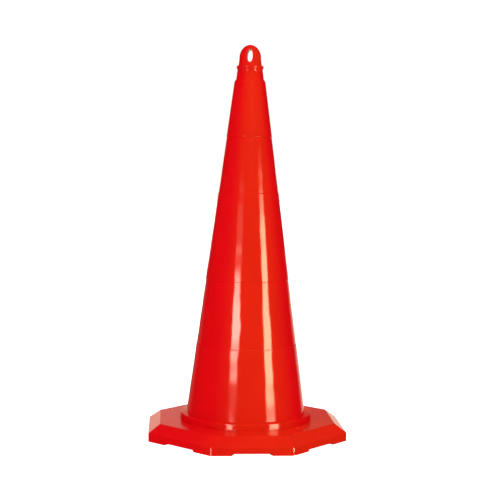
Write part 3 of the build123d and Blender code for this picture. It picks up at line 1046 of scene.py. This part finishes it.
# --- the lifting eye ------------------------------------------------------------------
@dataclass
class LiftingEye:
    """The domed eye: spigot with its groove, band, rim, and a dome with an oval hole."""

    turn: float = -6.0                 # degrees about +Z at rest
    band_radius: float = 32.6
    rim_radius: float = 34.3
    neck_top: float = 931.0
    rim_foot: float = 938.0
    rim_top: float = 946.5
    rim_round: float = 2.0
    dome_foot: float = 30.0
    dome_radius: float = 27.8
    crown_foot: float = 966.0
    top: float = 1000.0
    spigot_radius: float = 27.95
    spigot_bottom: float = 905.0
    core_radius: float = 24.45
    core_top: float = 929.0
    groove_radius: float = 26.15
    groove: tuple[float, float] = (921.3, 923.7)
    hole_centre: float = 971.0
    hole_half_width: float = 7.0
    hole_half_height: float = 16.5
    mouth_round: float = 1.5
    segments: int = 128
    patch_half: int = 16               # segments each side of the hole's middle
    patch_low: float = 950.2
    patch_high: float = 996.4
    patch_rows: int = 30
    mouth_steps: int = 6
    skin_steps: int = 7
    tunnel_steps: int = 10
    cap_shares: tuple[float, ...] = (0.2, 0.4, 0.58, 0.74, 0.87, 0.96)

    def dome_at(self, height: float) -> float:
        """The dome's radius at a height."""
        if height <= self.crown_foot:
            part = (self.crown_foot - height) / (self.crown_foot - self.rim_top)
            return self.dome_radius + (self.dome_foot - self.dome_radius) * part ** 1.5
        rise = (height - self.crown_foot) / (self.top - self.crown_foot)
        return self.dome_radius * math.sqrt(max(0.0, 1 - rise * rise))

    def lower_outline(self) -> list[tuple[float, float]]:
        """The half section from the spigot's core up to the dome's foot."""
        low, high = self.groove
        bends = [Bend(0.0, self.core_top), Bend(self.core_radius, self.core_top, 0.8),
                 Bend(self.core_radius, self.spigot_bottom, 0.5),
                 Bend(self.spigot_radius, self.spigot_bottom, 0.8),
                 Bend(self.spigot_radius, low, 0.25), Bend(self.groove_radius, low, 0.25),
                 Bend(self.groove_radius, high, 0.25), Bend(self.spigot_radius, high, 0.25),
                 Bend(self.spigot_radius, self.neck_top, 0.25),
                 Bend(self.band_radius, self.neck_top, 0.4),
                 Bend(self.band_radius, self.rim_foot, 0.5),
                 Bend(self.rim_radius, self.rim_foot + 1.7, 0.5),
                 Bend(self.rim_radius, self.rim_top, self.rim_round),
                 Bend(self.dome_foot, self.rim_top, 1.0),
                 Bend(self.dome_at(self.patch_low), self.patch_low)]
        return rounded_outline(bends, False, 3.0)

    def hole_spot(self, bearing: float, outset: float) -> tuple[float, float]:
        """A point on the hole's oval, moved square outwards, as (across, height)."""
        wide, tall = self.hole_half_width, self.hole_half_height
        normal = Vector((math.cos(bearing) / wide, math.sin(bearing) / tall)).normalized()
        return (wide * math.cos(bearing) + outset * normal.x,
                self.hole_centre + tall * math.sin(bearing) + outset * normal.y)

    def build_mesh(self) -> tuple[list[Point], list[list[int]]]:
        """Points and faces of the whole eye, its hole running along Y."""
        points: list[Point] = []
        faces: list[list[int]] = []
        count = self.segments

        def ring(radius: float, height: float) -> list[int]:
            """Adds one circle of points and returns their numbers."""
            start = len(points)
            for n in range(count):
                turn = 2 * math.pi * n / count
                points.append((radius * math.cos(turn), radius * math.sin(turn), height))
            return list(range(start, start + count))

        def strip(low: Sequence[int], high: Sequence[int], skip: Callable[[int], bool]) -> None:
            """Joins two circles by quads."""
            for n in range(count):
                if not skip(n):
                    after = (n + 1) % count
                    faces.append([low[n], low[after], high[after], high[n]])

        outline = self.lower_outline()
        points.append((0.0, 0.0, outline[0][1]))
        rings = [ring(r, z) for r, z in outline[1:]]
        faces += [[0, rings[0][(n + 1) % count], rings[0][n]] for n in range(count)]
        for low, high in zip(rings, rings[1:]):
            strip(low, high, lambda n: False)
        span = self.patch_high - self.patch_low
        rows = [rings[-1]]
        for row in range(1, self.patch_rows + 1):
            height = self.patch_low + span * row / self.patch_rows
            rows.append(ring(self.dome_at(height), height))
        front, back = 3 * count // 4, count // 4

        def in_patch(n: int) -> bool:
            """Whether a quad lies over one of the hole's two mouths."""
            return any(middle - self.patch_half <= n < middle + self.patch_half
                       for middle in (front, back))

        for low, high in zip(rows, rows[1:]):
            strip(low, high, in_patch)
        last = rows[-1]
        crown = self.top - self.crown_foot
        cap_angle = math.asin((self.patch_high - self.crown_foot) / crown)
        for share in self.cap_shares:
            climb = cap_angle + (math.pi / 2 - cap_angle) * share
            height = self.crown_foot + crown * math.sin(climb)
            higher = ring(self.dome_at(height), height)
            strip(last, higher, lambda n: False)
            last = higher
        pole = len(points)
        points.append((0.0, 0.0, self.top))
        faces += [[last[n], last[(n + 1) % count], pole] for n in range(count)]
        mouths = [self.mouth(points, faces, rows, middle) for middle in (front, back)]
        self.tunnel(points, faces, mouths)
        return points, faces

    def mouth(self, points: list[Point], faces: list[list[int]], rows: Sequence[Sequence[int]],
              middle: int) -> list[int]:
        """Fills the skin between the grid and one mouth of the hole, and rounds the mouth.

        Args:
            points: the eye's points, added to.
            faces: the eye's faces, added to.
            rows: the dome's circles of points.
            middle: the segment at the mouth's middle.

        Returns:
            The innermost loop of the mouth, from +across anticlockwise as seen from outside.
        """
        half, count = self.patch_half, self.segments
        side = -1.0 if middle > count // 2 else 1.0
        columns = [(middle + n) % count for n in range(-half, half + 1)]
        frame_loop = [rows[0][c] for c in columns]
        frame_loop += [row[columns[-1]] for row in rows[1:]]
        frame_loop += [rows[-1][c] for c in reversed(columns[:-1])]
        frame_loop += [row[columns[0]] for row in reversed(rows[1:-1])]
        wide = half * 2 * math.pi / count
        tall = (self.patch_high - self.patch_low) / 2
        centre = (self.patch_high + self.patch_low) / 2

        def to_flat(number: int) -> tuple[float, float]:
            """A point's angle across the mouth and its height."""
            x, y, z = points[number]
            return math.atan2(x * -side, y * side), z

        flats = [to_flat(number) for number in frame_loop]
        bearings = [math.atan2((z - centre) / tall, a / wide) for a, z in flats]
        loops = [frame_loop]
        for step in range(1, self.skin_steps + 1):
            part = (step / self.skin_steps) ** 0.8
            loop = []
            for (angle, height), bearing in zip(flats, bearings):
                across, edge = self.hole_spot(bearing, self.mouth_round)
                edge_angle = math.asin(max(-1.0, min(1.0, across / self.dome_at(edge))))
                turn = angle + (edge_angle - angle) * part
                level = height + (edge - height) * part
                radius = self.dome_at(level)
                loop.append(len(points))
                points.append((-side * radius * math.sin(turn), side * radius * math.cos(turn), level))
            loops.append(loop)
        for step in range(1, self.mouth_steps + 1):
            roll = math.pi / 2 * step / self.mouth_steps
            loop = []
            for bearing in bearings:
                across, level = self.hole_spot(bearing, self.mouth_round * (1 - math.sin(roll)))
                radius = self.dome_at(level)
                depth = math.sqrt(max(1.0, radius * radius - across * across))
                depth -= self.mouth_round * (1 - math.cos(roll))
                loop.append(len(points))
                points.append((-side * across, side * depth, level))
            loops.append(loop)
        for outer, inner in zip(loops, loops[1:]):
            total = len(outer)
            for n in range(total):
                after = (n + 1) % total
                faces.append([outer[n], outer[after], inner[after], inner[n]])
        return loops[-1]

    def tunnel(self, points: list[Point], faces: list[list[int]], mouths: Sequence[list[int]]) -> None:
        """Joins the two mouths by the hole's wall."""
        front, back = mouths
        total = len(front)
        nearest = {(round(points[n][0], 4), round(points[n][2], 4)): n for n in back}
        far = [nearest[(round(points[n][0], 4), round(points[n][2], 4))] for n in front]
        last = front
        for step in range(1, self.tunnel_steps + 1):
            part = step / self.tunnel_steps
            if step == self.tunnel_steps:
                loop = far
            else:
                loop = []
                for a, b in zip(front, far):
                    spot = Vector(points[a]).lerp(Vector(points[b]), part)
                    loop.append(len(points))
                    points.append(tuple(spot))
            for n in range(total):
                after = (n + 1) % total
                faces.append([last[n], last[after], loop[after], loop[n]])
            last = loop

    def build(self, material: bpy.types.Material) -> bpy.types.Object:
        """Makes the eye.

        Args:
            material: its plastic.

        Returns:
            The piece.
        """
        points, faces = self.build_mesh()
        eye = mesh_piece("lifting_eye", points, faces)
        eye.data.transform(Matrix.Rotation(math.radians(self.turn), 4, "Z"))
        dressed(welded(eye), material)
        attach(eye, "eye")
        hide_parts("eye_cap")
        return eye


@dataclass
class EyeClip:
    """The split nylon ring that keeps the eye in the neck."""

    inner: float = 26.25
    outer: float = 30.15
    bottom: float = 921.3
    top: float = 923.7
    rounding: float = 0.5
    mouth: float = 14.0

    def build(self, material: bpy.types.Material) -> bpy.types.Object:
        """Makes the clip.

        Args:
            material: its nylon.

        Returns:
            The piece.
        """
        section = plain_section(self.inner, self.outer, self.bottom, self.top, self.rounding)
        gap = 2 * math.degrees(math.asin(self.mouth / 2 / ((self.inner + self.outer) / 2)))
        points, faces = swept_section(section, 90 + gap / 2, 360 - gap, 96)
        clip = dressed(mesh_piece("split_clip", points, faces), material)
        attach(clip, "eye")
        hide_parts("eye_clip")
        return clip


# --- the base -------------------------------------------------------------------------
@dataclass
class BaseMoulding:
    """The eight-sided moulding: skirt with feet, slopes, flat plate, lock ring and bosses."""

    half_across: float = 250.0
    half_diagonal: float = 247.487
    corner_round: float = 5.0
    wall: float = 4.0
    skirt_top: float = 21.0
    plate_top: float = 42.0
    ridge_inset: float = 29.0
    ridge_round: float = 3.0
    foot_height: float = 5.0
    gap_half: float = 47.0
    gap_flare: float = 2.0
    opening: float = 153.0
    hub: tuple[float, float] = (160.5, 163.5)
    hub_bottom: float = 9.0
    notch_angle: float = 15.0
    lock_turn: float = 20.0
    stop_angle: float = 2.5
    stop_clear: float = 6.108          # half a lug's angle and its play, in degrees
    lug_count: int = 6
    stop_bottom: float = 33.7
    boss_radius: float = 7.0
    boss_hole: float = 2.5
    boss_depth: float = 24.0
    boss_circle: float = 203.03
    corner_along: float = 100.0
    corner_steps: int = 6
    inner_round: float = 1.5
    round_zone: tuple[float, float] = (166.6, 178.0)   # radii between which the plate turns round

    @property
    def plate_under(self) -> float:
        """Height of the plate's underside."""
        return self.plate_top - self.wall

    @property
    def slope(self) -> float:
        """The sloping faces' angle above level."""
        return math.atan2(self.plate_top - self.skirt_top, self.ridge_inset)

    def foot_profile(self) -> list[tuple[float, float]]:
        """Height of the skirt's lower edge at places along half a side, from its middle."""
        gap, flare, tall = self.gap_half, self.gap_flare, self.foot_height
        spots = [(0.0, tall), (gap / 4, tall), (gap / 2, tall), (gap * 0.75, tall),
                 (gap - 1.8, tall), (gap - 0.7, tall), (gap - 0.05, tall - 0.3),
                 (gap + 0.4, tall - 1.0), (gap + flare / 2, tall / 2),
                 (gap + flare - 0.4, 1.0), (gap + flare + 0.05, 0.3), (gap + flare + 0.7, 0.0),
                 (gap + flare + 1.8, 0.0), (gap + 14.0, 0.0)]
        return spots

    def stations(self, inset: float, rounding: float) -> list[tuple[float, float, float]]:
        """Places round the outline, the same number at every inset.

        Args:
            inset: how far in from the skirt's outside.
            rounding: radius of the corners there.

        Returns:
            (x, y, height of the foot profile), anticlockwise.
        """
        feet = self.foot_profile()
        fixed = [(-s, z) for s, z in reversed(feet[1:])] + feet
        places = []
        cut = rounding * math.tan(math.radians(22.5))
        for side in range(8):
            angle = math.radians(45 * side)
            normal = Vector((math.cos(angle), math.sin(angle)))
            along = Vector((-normal.y, normal.x))
            square = side % 2 == 0
            distance = (self.half_across if square else self.half_diagonal) - inset
            half_side = self.corner_along if square else (self.half_across - self.corner_along) / 2 ** 0.5
            end = half_side - math.tan(math.radians(22.5)) * inset - cut
            last = fixed[-1][0]
            tails = [last + (end - last) * part for part in (0.33, 0.66, 0.9, 0.97)]
            spots = [(-s, 0.0) for s in reversed(tails)] + fixed + [(s, 0.0) for s in tails]
            for s, z in spots:
                spot = normal * distance + along * s
                places.append((spot.x, spot.y, z))
            centre = normal * (distance - rounding) + along * end
            for step in range(self.corner_steps + 1):
                turn = angle + math.radians(45) * step / self.corner_steps
                places.append((centre.x + rounding * math.cos(turn),
                               centre.y + rounding * math.sin(turn), 0.0))
        return places

    def shell_mesh(self) -> tuple[list[Point], list[list[int]]]:
        """Points and faces of the moulding without its lock and bosses."""
        slope, wall, inner_round = self.slope, self.wall, self.inner_round
        points: list[Point] = []
        loops: list[list[int]] = []

        def outline_loop(inset: float, height: float, rounding: float, follows_feet: bool) -> None:
            """Adds one loop along the eight-sided outline."""
            loop = []
            for x, y, foot in self.stations(inset, rounding):
                loop.append(len(points))
                points.append((x, y, height + (foot if follows_feet else 0.0)))
            loops.append(loop)

        bearings = [math.atan2(y, x) for x, y, _ in self.stations(self.ridge_inset, self.corner_round)]

        def circle_loop(radius: float, height: float) -> None:
            """Adds one round loop."""
            loop = []
            for turn in bearings:
                loop.append(len(points))
                points.append((radius * math.cos(turn), radius * math.sin(turn), height))
            loops.append(loop)

        outside = [Bend(-wall, 0.0, 0.8), Bend(0.0, 0.0, 0.8)]
        upper = rounded_outline([Bend(0.0, 8.0), Bend(0.0, self.skirt_top, 1.6),
                                 Bend(-self.ridge_inset, self.plate_top, self.ridge_round),
                                 Bend(-self.ridge_inset - 20, self.plate_top)], False, 9.0)
        edge = rounded_outline([Bend(-wall, 3.0), *outside, Bend(0.0, 3.0)], False, 9.0)
        for offset, height in edge:
            outline_loop(-offset, height, self.corner_round if offset > -1.5 else inner_round, True)
        for offset, height in upper:
            outline_loop(-offset, height, self.corner_round, False)
        top, under = self.plate_top, self.plate_under
        circle_loop(self.round_zone[1], top)
        hub_in, hub_out = self.hub
        round_part = [Bend(self.round_zone[0], top), Bend(self.opening, top, 0.6),
                      Bend(self.opening, under, 0.4), Bend(hub_in, under, 0.6),
                      Bend(hub_in, self.hub_bottom, 0.5), Bend(hub_out, self.hub_bottom, 0.5),
                      Bend(hub_out, under, 0.8), Bend(self.round_zone[1], under)]
        for radius, height in rounded_outline(round_part, False, 12.0):
            circle_loop(radius, height)
        shift = wall / math.sin(slope)
        lean = self.ridge_inset / (self.plate_top - self.skirt_top)
        knee = self.skirt_top + (wall - shift) / lean
        roof_edge = -(lean * (under - self.skirt_top) + shift)
        cavity = [Bend(roof_edge - 12, under), Bend(roof_edge, under, 1.0),
                  Bend(-wall, knee, 1.0), Bend(-wall, 8.0)]
        for offset, height in rounded_outline(cavity, False, 12.0):
            outline_loop(-offset, height, inner_round, False)
        faces = []
        count = len(bearings)
        for low, high in zip(loops, loops[1:] + loops[:1]):
            for n in range(count):
                after = (n + 1) % count
                faces.append([low[n], low[after], high[after], high[n]])
        return points, faces

    def notches(self) -> bpy.types.Object:
        """The cutters that open the plate's edge where the lugs drop in."""
        outer, inner = self.hub[0] - 0.3, self.opening - 3
        low, high = self.plate_under - 1, self.plate_top + 1
        section = [(outer, low), (outer, high), (inner, high), (inner, low)]
        parts = []
        for index in range(self.lug_count):
            centre = (index + 0.5) * 360 / self.lug_count + self.lock_turn
            parts.append(swept_section(section, centre - self.notch_angle / 2, self.notch_angle, 6))
        return mesh_piece("notch_cutters", *joined(parts))

    def stops(self) -> bpy.types.Object:
        """The small blocks that end each lug's turn."""
        section = plain_section(self.opening, (self.hub[0] + self.hub[1]) / 2, self.stop_bottom,
                                self.plate_under + 1, 0.0)
        parts = []
        for index in range(self.lug_count):
            centre = (index + 0.5) * 360 / self.lug_count
            for start in (centre - self.stop_clear - self.stop_angle,
                          centre + self.lock_turn + self.stop_clear):
                parts.append(swept_section(section, start, self.stop_angle, 2))
        return mesh_piece("turn_stops", *joined(parts))

    def bosses(self, trees: TurningTrees) -> bpy.types.Object:
        """The eight hollow posts that the pan's screws go into."""
        head, roof = self.hub_bottom + self.boss_depth, self.plate_under + 1
        outline = rounded_outline([Bend(0.0, head), Bend(self.boss_hole, head, 0.4),
                                   Bend(self.boss_hole, self.hub_bottom, 0.4),
                                   Bend(self.boss_radius, self.hub_bottom, 0.6),
                                   Bend(self.boss_radius, roof), Bend(0.0, roof)], False, 60.0)
        one = turned_piece("boss", outline, trees, {"Segments": 32, "Ripple Depth": 0.0})
        mesh = one.data
        bpy.data.objects.remove(one)
        return run_tree("boss_ring", mesh, trees.repeat, corner_ring(self, self.boss_circle))

    def build(self, trees: TurningTrees, material: bpy.types.Material) -> bpy.types.Object:
        """Makes the moulding.

        Args:
            trees: the node trees.
            material: its plastic.

        Returns:
            The piece.
        """
        shell = welded(mesh_piece("base_moulding", *self.shell_mesh()))
        shell = combined(shell, self.notches(), Combine.CUT)
        shell = combined(shell, self.stops(), Combine.ADD)
        shell = combined(shell, self.bosses(trees), Combine.ADD)
        dressed(welded(shell), material)
        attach(shell, "base")
        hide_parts("base_shell")
        return shell


def corner_ring(base: BaseMoulding, radius: float) -> dict[str, object]:
    """The repeat tree's inputs for one copy towards each corner of the base.

    Args:
        base: the moulding.
        radius: distance of the copies from the axis.

    Returns:
        The inputs by name.
    """
    first = math.atan2(base.corner_along, base.half_across)
    return {"Count": 8, "Ring Radius": radius * MM, "First Turn": first,
            "Pair Turn": math.pi / 2 - 2 * first, "Step Turn": math.pi / 2}


@dataclass
class Underside:
    """What is under and inside the base: screws, pan, ballast and foot pads."""

    pan_bottom: float = 6.0
    shank_radius: float = 2.4
    shank_length: float = 20.0
    head_radius: float = 4.6
    head_height: float = 2.8
    thread_pitch: float = 1.7
    thread_depth: float = 0.55
    thread_start: float = 3.4
    point_length: float = 3.0
    point_radius: float = 0.7
    recess: tuple[float, float, float] = (5.0, 1.2, 1.5)

    def screw_outline(self) -> list[tuple[float, float]]:
        """Half section of a screw, head down, with its rings of thread."""
        bottom, seat = self.pan_bottom - self.head_height, self.pan_bottom
        tip = seat + self.shank_length
        bends = [Bend(0.0, bottom), Bend(self.head_radius, bottom, 1.2),
                 Bend(self.head_radius, seat, 0.3), Bend(self.shank_radius, seat, 0.2)]
        height = seat + self.thread_start
        core = self.shank_radius - self.thread_depth
        while height < tip - self.point_length:
            bends += [Bend(core, height), Bend(self.shank_radius, height + self.thread_pitch / 2, 0.1)]
            height += self.thread_pitch
        bends += [Bend(core, height), Bend(self.point_radius, tip, 0.3), Bend(0.0, tip)]
        return rounded_outline(bends, False, 60.0)

    def screws(self, trees: TurningTrees, base: BaseMoulding,
               material: bpy.types.Material) -> bpy.types.Object:
        """The eight pan screws as one piece.

        Args:
            trees: the node trees.
            base: the moulding that they hold in.
            material: their steel.

        Returns:
            The piece.
        """
        one = turned_piece("screw", self.screw_outline(), trees, {"Segments": 36})
        length, width, depth = self.recess
        bottom = self.pan_bottom - self.head_height
        parts = []
        for x, y in ((length / 2, width / 2), (width / 2, length / 2)):
            corners = [(-x, -y), (x, -y), (x, y), (-x, y)]
            block = [(a, b, bottom - 1.0) for a, b in corners]
            block += [(a * 0.8, b * 0.8, bottom + depth) for a, b in corners]
            sides = [[0, 3, 2, 1], [4, 5, 6, 7]]
            sides += [[n, (n + 1) % 4, (n + 1) % 4 + 4, n + 4] for n in range(4)]
            parts.append((block, sides))
        for part in parts:
            one = combined(one, mesh_piece("driver_recess", *part), Combine.CUT)
        mesh = one.data
        bpy.data.objects.remove(one)
        values = corner_ring(base, base.boss_circle)
        values["Material"] = material
        ring = dressed(run_tree("pan_screw_set", mesh, trees.repeat, values), material)
        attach(ring, "base")
        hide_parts("pan_screws")
        return ring

    @staticmethod
    def dress_node(node: str, material: bpy.types.Material) -> None:
        """Gives a carried-over CAD node its finish."""
        dressed(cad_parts[node], material)


# --- the studio -----------------------------------------------------------------------
class Way(Enum):
    """The directions along which the surroundings' light changes."""

    SIDE = "X"
    DEPTH = "Y"
    RISE = "Z"


@dataclass(frozen=True)
class Span:
    """A brightness that changes between two places along one direction."""

    way: Way
    low: float
    high: float
    start: float = 0.0
    end: float = 1.0


@dataclass(frozen=True)
class StripCard:
    """An upright glowing card that shows only as a reflection."""

    name: str
    bearing: float                     # degrees from the front towards +X
    distance: float
    width: float
    bottom: float
    top: float
    rise: tuple[float, float]          # heights between which its glow comes up
    fall: tuple[float, float]          # heights between which it goes down
    colour: tuple[float, float, float]
    strength: float
    tail: float = 0.0                  # share of the glow that is left above the fall
    top_fade: float = 0.15             # metres over which its upper end goes dark

    def build(self) -> bpy.types.Object:
        """Makes the card, in metres."""
        turn = math.radians(self.bearing)
        out = Vector((math.sin(turn), -math.cos(turn), 0.0))
        side = Vector((math.cos(turn), math.sin(turn), 0.0)) * self.width / 2
        foot = out * self.distance
        low, high = Vector((0, 0, self.bottom)), Vector((0, 0, self.top))
        card = sheet(self.name, [foot - side + low, foot + side + low, foot + side + high,
                                 foot - side + high])
        material = bpy.data.materials.new(self.name)
        w = bare_wiring(material)
        height = w.parts(w.add("ShaderNodeTexCoord").outputs["Object"])["Z"]
        glow = w.product(w.spread(height, *self.fall, 1.0, self.tail),
                         w.spread(height, *self.rise, 0.0, self.strength),
                         w.spread(height, self.top - self.top_fade, self.top, 1.0, 0.0))
        w.end(w.add("ShaderNodeEmission", {"Color": (*self.colour, 1.0), "Strength": glow}).outputs[0])
        card.data.materials.append(material)
        if self.bottom < 0:            # the floor would hide it from light sampling
            material.cycles.emission_sampling = "NONE"
        card.visible_camera = False
        card.visible_diffuse = False
        card.visible_shadow = False
        card.visible_transmission = False
        return card


@dataclass(frozen=True)
class SoftLamp:
    """A large soft lamp that faces the object and doesn't show in its gloss."""

    name: str
    bearing: float
    elevation: float
    distance: float
    size: float
    power: float
    colour: tuple[float, float, float]
    aim_height: float = 0.45           # metres

    def build(self) -> bpy.types.Object:
        """Makes the lamp."""
        data = bpy.data.lights.new(self.name, "AREA")
        data.size = self.size
        data.energy = self.power
        data.color = self.colour
        lamp = linked(self.name, data)
        turn, rise = math.radians(self.bearing), math.radians(self.elevation)
        away = Vector((math.sin(turn) * math.cos(rise), -math.cos(turn) * math.cos(rise),
                       math.sin(rise)))
        lamp.location = Vector((0, 0, self.aim_height)) + away * self.distance
        lamp.rotation_euler = away.to_track_quat("Z", "Y").to_euler()
        lamp.visible_glossy = False
        lamp.visible_camera = False
        return lamp


@dataclass
class Studio:
    """Pale floor, soft light and the camera."""

    camera_at: Point = (-204.7, -2850.3, 656.8)
    camera_to: Point = (5.98, -0.44, 476.2)
    roll: float = 0.7716               # degrees
    lens: float = 79.95
    floor_size: float = 60.0           # metres
    floor_tones: tuple[Tint, Tint] = ((0.78, 0.77, 0.76, 1.0), (0.82, 0.81, 0.80, 1.0))
    floor_glow: float = 1.1            # what it adds as the camera sees it
    sky_white: float = 1.02            # the surroundings as the camera sees them
    ambient: tuple[float, float, float] = (0.90, 0.62, 0.78)
    horizon: float = 1.2               # strength of the bands that show in gloss
    gloss_floor: float = 0.015
    warm_tint: Tint = (1.0, 0.90, 0.70, 1.0)
    ruddy_tint: Tint = (3.0, 1.0, 0.60, 1.0)
    near: tuple[Span, ...] = (
        Span(Way.RISE, 0.06, 0.24, 1.0, 0.36), Span(Way.RISE, 0.22, 0.42, 1.0, 0.0),
        Span(Way.RISE, -0.06, -0.01), Span(Way.DEPTH, 0.90, 0.98),
        Span(Way.SIDE, 0.0, 0.14, 0.88, 0.30), Span(Way.SIDE, -0.35, -0.05, 0.6, 1.0))
    backdrop: tuple[Span, ...] = (
        Span(Way.DEPTH, 0.66, 0.90), Span(Way.RISE, -0.05, 0.0, 1.0, 0.0),
        Span(Way.SIDE, -0.05, 0.3, 0.10, 0.75))
    overhead: tuple[Span, ...] = (
        Span(Way.RISE, 0.80, 0.86), Span(Way.RISE, 0.945, 0.965, 0.22, 0.0),
        Span(Way.DEPTH, -0.3, -0.18, 1.0, 0.0))
    ruddy: tuple[Span, ...] = (
        Span(Way.SIDE, 0.0, 0.14), Span(Way.RISE, 0.10, 0.16), Span(Way.DEPTH, 0.90, 0.96))
    cards: tuple[StripCard, ...] = (
        StripCard("left_card", -30.0, 2.6, 0.78, 0.20, 1.35, (0.22, 0.62), (0.70, 0.96),
                  (1.0, 0.78, 0.62), 18.5, 0.06),
        StripCard("right_card", 45.0, 2.6, 0.78, 0.15, 1.50, (0.16, 0.20), (0.88, 1.42),
                  (1.0, 0.755, 0.445), 18.5),
        StripCard("left_low_card", -30.0, 2.6, 0.40, -0.74, 0.20, (-0.72, -0.62), (-0.36, -0.28),
                  (1.0, 0.72, 0.60), 80.0, 0.15),
        StripCard("right_low_card", 45.0, 2.6, 0.72, -0.74, 0.20, (-0.72, -0.62), (-0.36, -0.28),
                  (1.0, 0.72, 0.50), 80.0, 0.19))
    lamps: tuple[SoftLamp, ...] = (
        SoftLamp("front_lamp", 12.0, 35.0, 3.6, 2.2, 34.0, (1.0, 0.98, 0.86)),
        SoftLamp("left_lamp", -75.0, 20.0, 3.6, 2.2, 10.0, (1.0, 0.62, 0.80)))

    def camera(self) -> bpy.types.Object:
        """Places the camera."""
        data = bpy.data.cameras.new("camera")
        data.lens = self.lens
        data.sensor_width = 36.0
        camera = linked("camera", data)
        start, aim = Vector(self.camera_at) * MM, Vector(self.camera_to) * MM
        ahead = (aim - start).normalized()
        right = ahead.cross(Vector((0, 0, 1))).normalized()
        up = right.cross(ahead)
        roll = math.radians(self.roll)
        leaning = up * math.cos(roll) - right * math.sin(roll)
        across = ahead.cross(leaning)
        turned = Matrix((across, leaning, -ahead)).transposed().to_4x4()
        camera.matrix_world = Matrix.Translation(start) @ turned
        bpy.context.scene.camera = camera
        return camera

    def floor(self) -> bpy.types.Object:
        """The pale floor, open to a view from below."""
        half = self.floor_size / 2
        floor = sheet("floor", [(-half, -half, 0), (half, -half, 0), (half, half, 0), (-half, half, 0)])
        material = bpy.data.materials.new("pale_floor")
        w = bare_wiring(material)
        mottle = w.noise(w.add("ShaderNodeTexCoord").outputs["Object"], 3.0, 4.0)
        tone = w.blend_colours(w.spread(mottle, 0.3, 0.7), *self.floor_tones)
        matt = w.add("ShaderNodeBsdfDiffuse", {"Color": tone})
        seen = w.add("ShaderNodeLightPath").outputs["Is Camera Ray"]
        glow = w.add("ShaderNodeEmission", {"Color": WHITE,
                                            "Strength": w.math("MULTIPLY", seen, self.floor_glow)})
        lit = w.add("ShaderNodeAddShader")
        w.feed(lit.inputs[0], matt.outputs[0])
        w.feed(lit.inputs[1], glow.outputs[0])
        clear = w.add("ShaderNodeBsdfTransparent")
        below = w.add("ShaderNodeNewGeometry").outputs["Backfacing"]
        w.end(w.blend_shaders(below, lit.outputs[0], clear.outputs[0]))
        floor.data.materials.append(material)
        floor.visible_glossy = False
        return floor

    def world(self) -> None:
        """White to the camera, a soft even light on the object, a bright band behind it in gloss."""
        world = bpy.data.worlds.new("studio")
        bpy.context.scene.world = world
        w = bare_wiring(world)
        ray = w.add("ShaderNodeLightPath").outputs
        way = w.parts(w.add("ShaderNodeTexCoord").outputs["Generated"])

        def band(spans: Sequence[Span]) -> Socket:
            """How bright one band of the surroundings is, by direction."""
            return w.product(*(w.spread(way[span.way.value], span.low, span.high, span.start, span.end)
                               for span in spans))

        glow = w.math("ADD", w.math("ADD", band(self.near), band(self.backdrop)), band(self.overhead))
        gloss = w.add("ShaderNodeBackground", {
            "Color": w.blend_colours(band(self.ruddy), self.warm_tint, self.ruddy_tint),
            "Strength": w.math("MULTIPLY_ADD", glow, self.horizon, self.gloss_floor)})
        soft = w.add("ShaderNodeBackground", {"Color": (*self.ambient, 1.0), "Strength": 1.0})
        white = w.add("ShaderNodeBackground", {"Color": WHITE, "Strength": self.sky_white})
        lit = w.blend_shaders(ray["Is Glossy Ray"], soft.outputs[0], gloss.outputs[0])
        w.end(w.blend_shaders(ray["Is Camera Ray"], lit, white.outputs[0]), "ShaderNodeOutputWorld")

    def build(self) -> None:
        """Sets up camera, floor, light and the view's colour handling."""
        self.camera()
        self.floor()
        self.world()
        for card in self.cards:
            card.build()
        for lamp in self.lamps:
            lamp.build()
        bpy.context.scene.view_settings.view_transform = "Standard"
        bpy.context.scene.view_settings.look = "None"


# --- putting it together --------------------------------------------------------------
@dataclass
class Finishes:
    """Every material of the object, made once."""

    effects: SurfaceEffects = field(default_factory=SurfaceEffects)

    def __post_init__(self) -> None:
        """Builds the materials."""
        # Each signal plastic paints light on one side: more orange towards its given bearing.
        self.body = SignalPlastic("body_signal_plastic").build(self.effects)
        self.eye = SignalPlastic("eye_signal_plastic", lit_side_bearing=30.0, lit_side_none=0.1,
                                 roughness=0.11).build(self.effects)
        self.base = SignalPlastic("base_signal_plastic", lit_side_bearing=32.0, lit_side_none=0.3,
                                  lit_side_full=0.97, roughness=0.10, dust_amount=0.01,
                                  wear_amount=0.05, flat_dullness=0.10).build(self.effects)
        self.nylon = GrainedMatter("clip_nylon", (0.66, 0.64, 0.58), (0.8, 0.78, 0.72), 0.38,
                                   900.0, 0.02).build(self.effects)
        self.ballast = GrainedMatter("ballast_crumb_rubber", (0.012, 0.012, 0.012),
                                     (0.07, 0.07, 0.068), 0.82, 500.0, 0.35,
                                     crumb_scale=320.0).build(self.effects)
        self.pan = GrainedMatter("pan_black_plastic", (0.018, 0.018, 0.019), (0.06, 0.06, 0.06),
                                 0.5, 1100.0, 0.06).build(self.effects)
        self.rubber = GrainedMatter("pad_rubber", (0.014, 0.014, 0.014), (0.075, 0.073, 0.07),
                                    0.75, 800.0, 0.12).build(self.effects)
        self.steel = ZincSteel().build(self.effects)


def report(piece: bpy.types.Object) -> None:
    """Logs a finished piece and its size."""
    mesh = piece.data
    LOG.info("%s: %d points, %d faces", piece.name, len(mesh.vertices), len(mesh.polygons))


def main() -> None:
    """Builds every piece of the cone and the studio round it."""
    logging.basicConfig(level=logging.INFO, format="%(message)s")
    finishes = Finishes()
    trees = TurningTrees()
    Studio().build()
    report(ConeBody().build(trees, finishes.body))
    report(LiftingEye().build(finishes.eye))
    report(EyeClip().build(finishes.nylon))
    base = BaseMoulding()
    report(base.build(trees, finishes.base))
    under = Underside()
    report(under.screws(trees, base, finishes.steel))
    under.dress_node("base_pan", finishes.pan)
    under.dress_node("ballast_ring", finishes.ballast)
    under.dress_node("foot_pads", finishes.rubber)


if __name__ == "__main__":
    main()
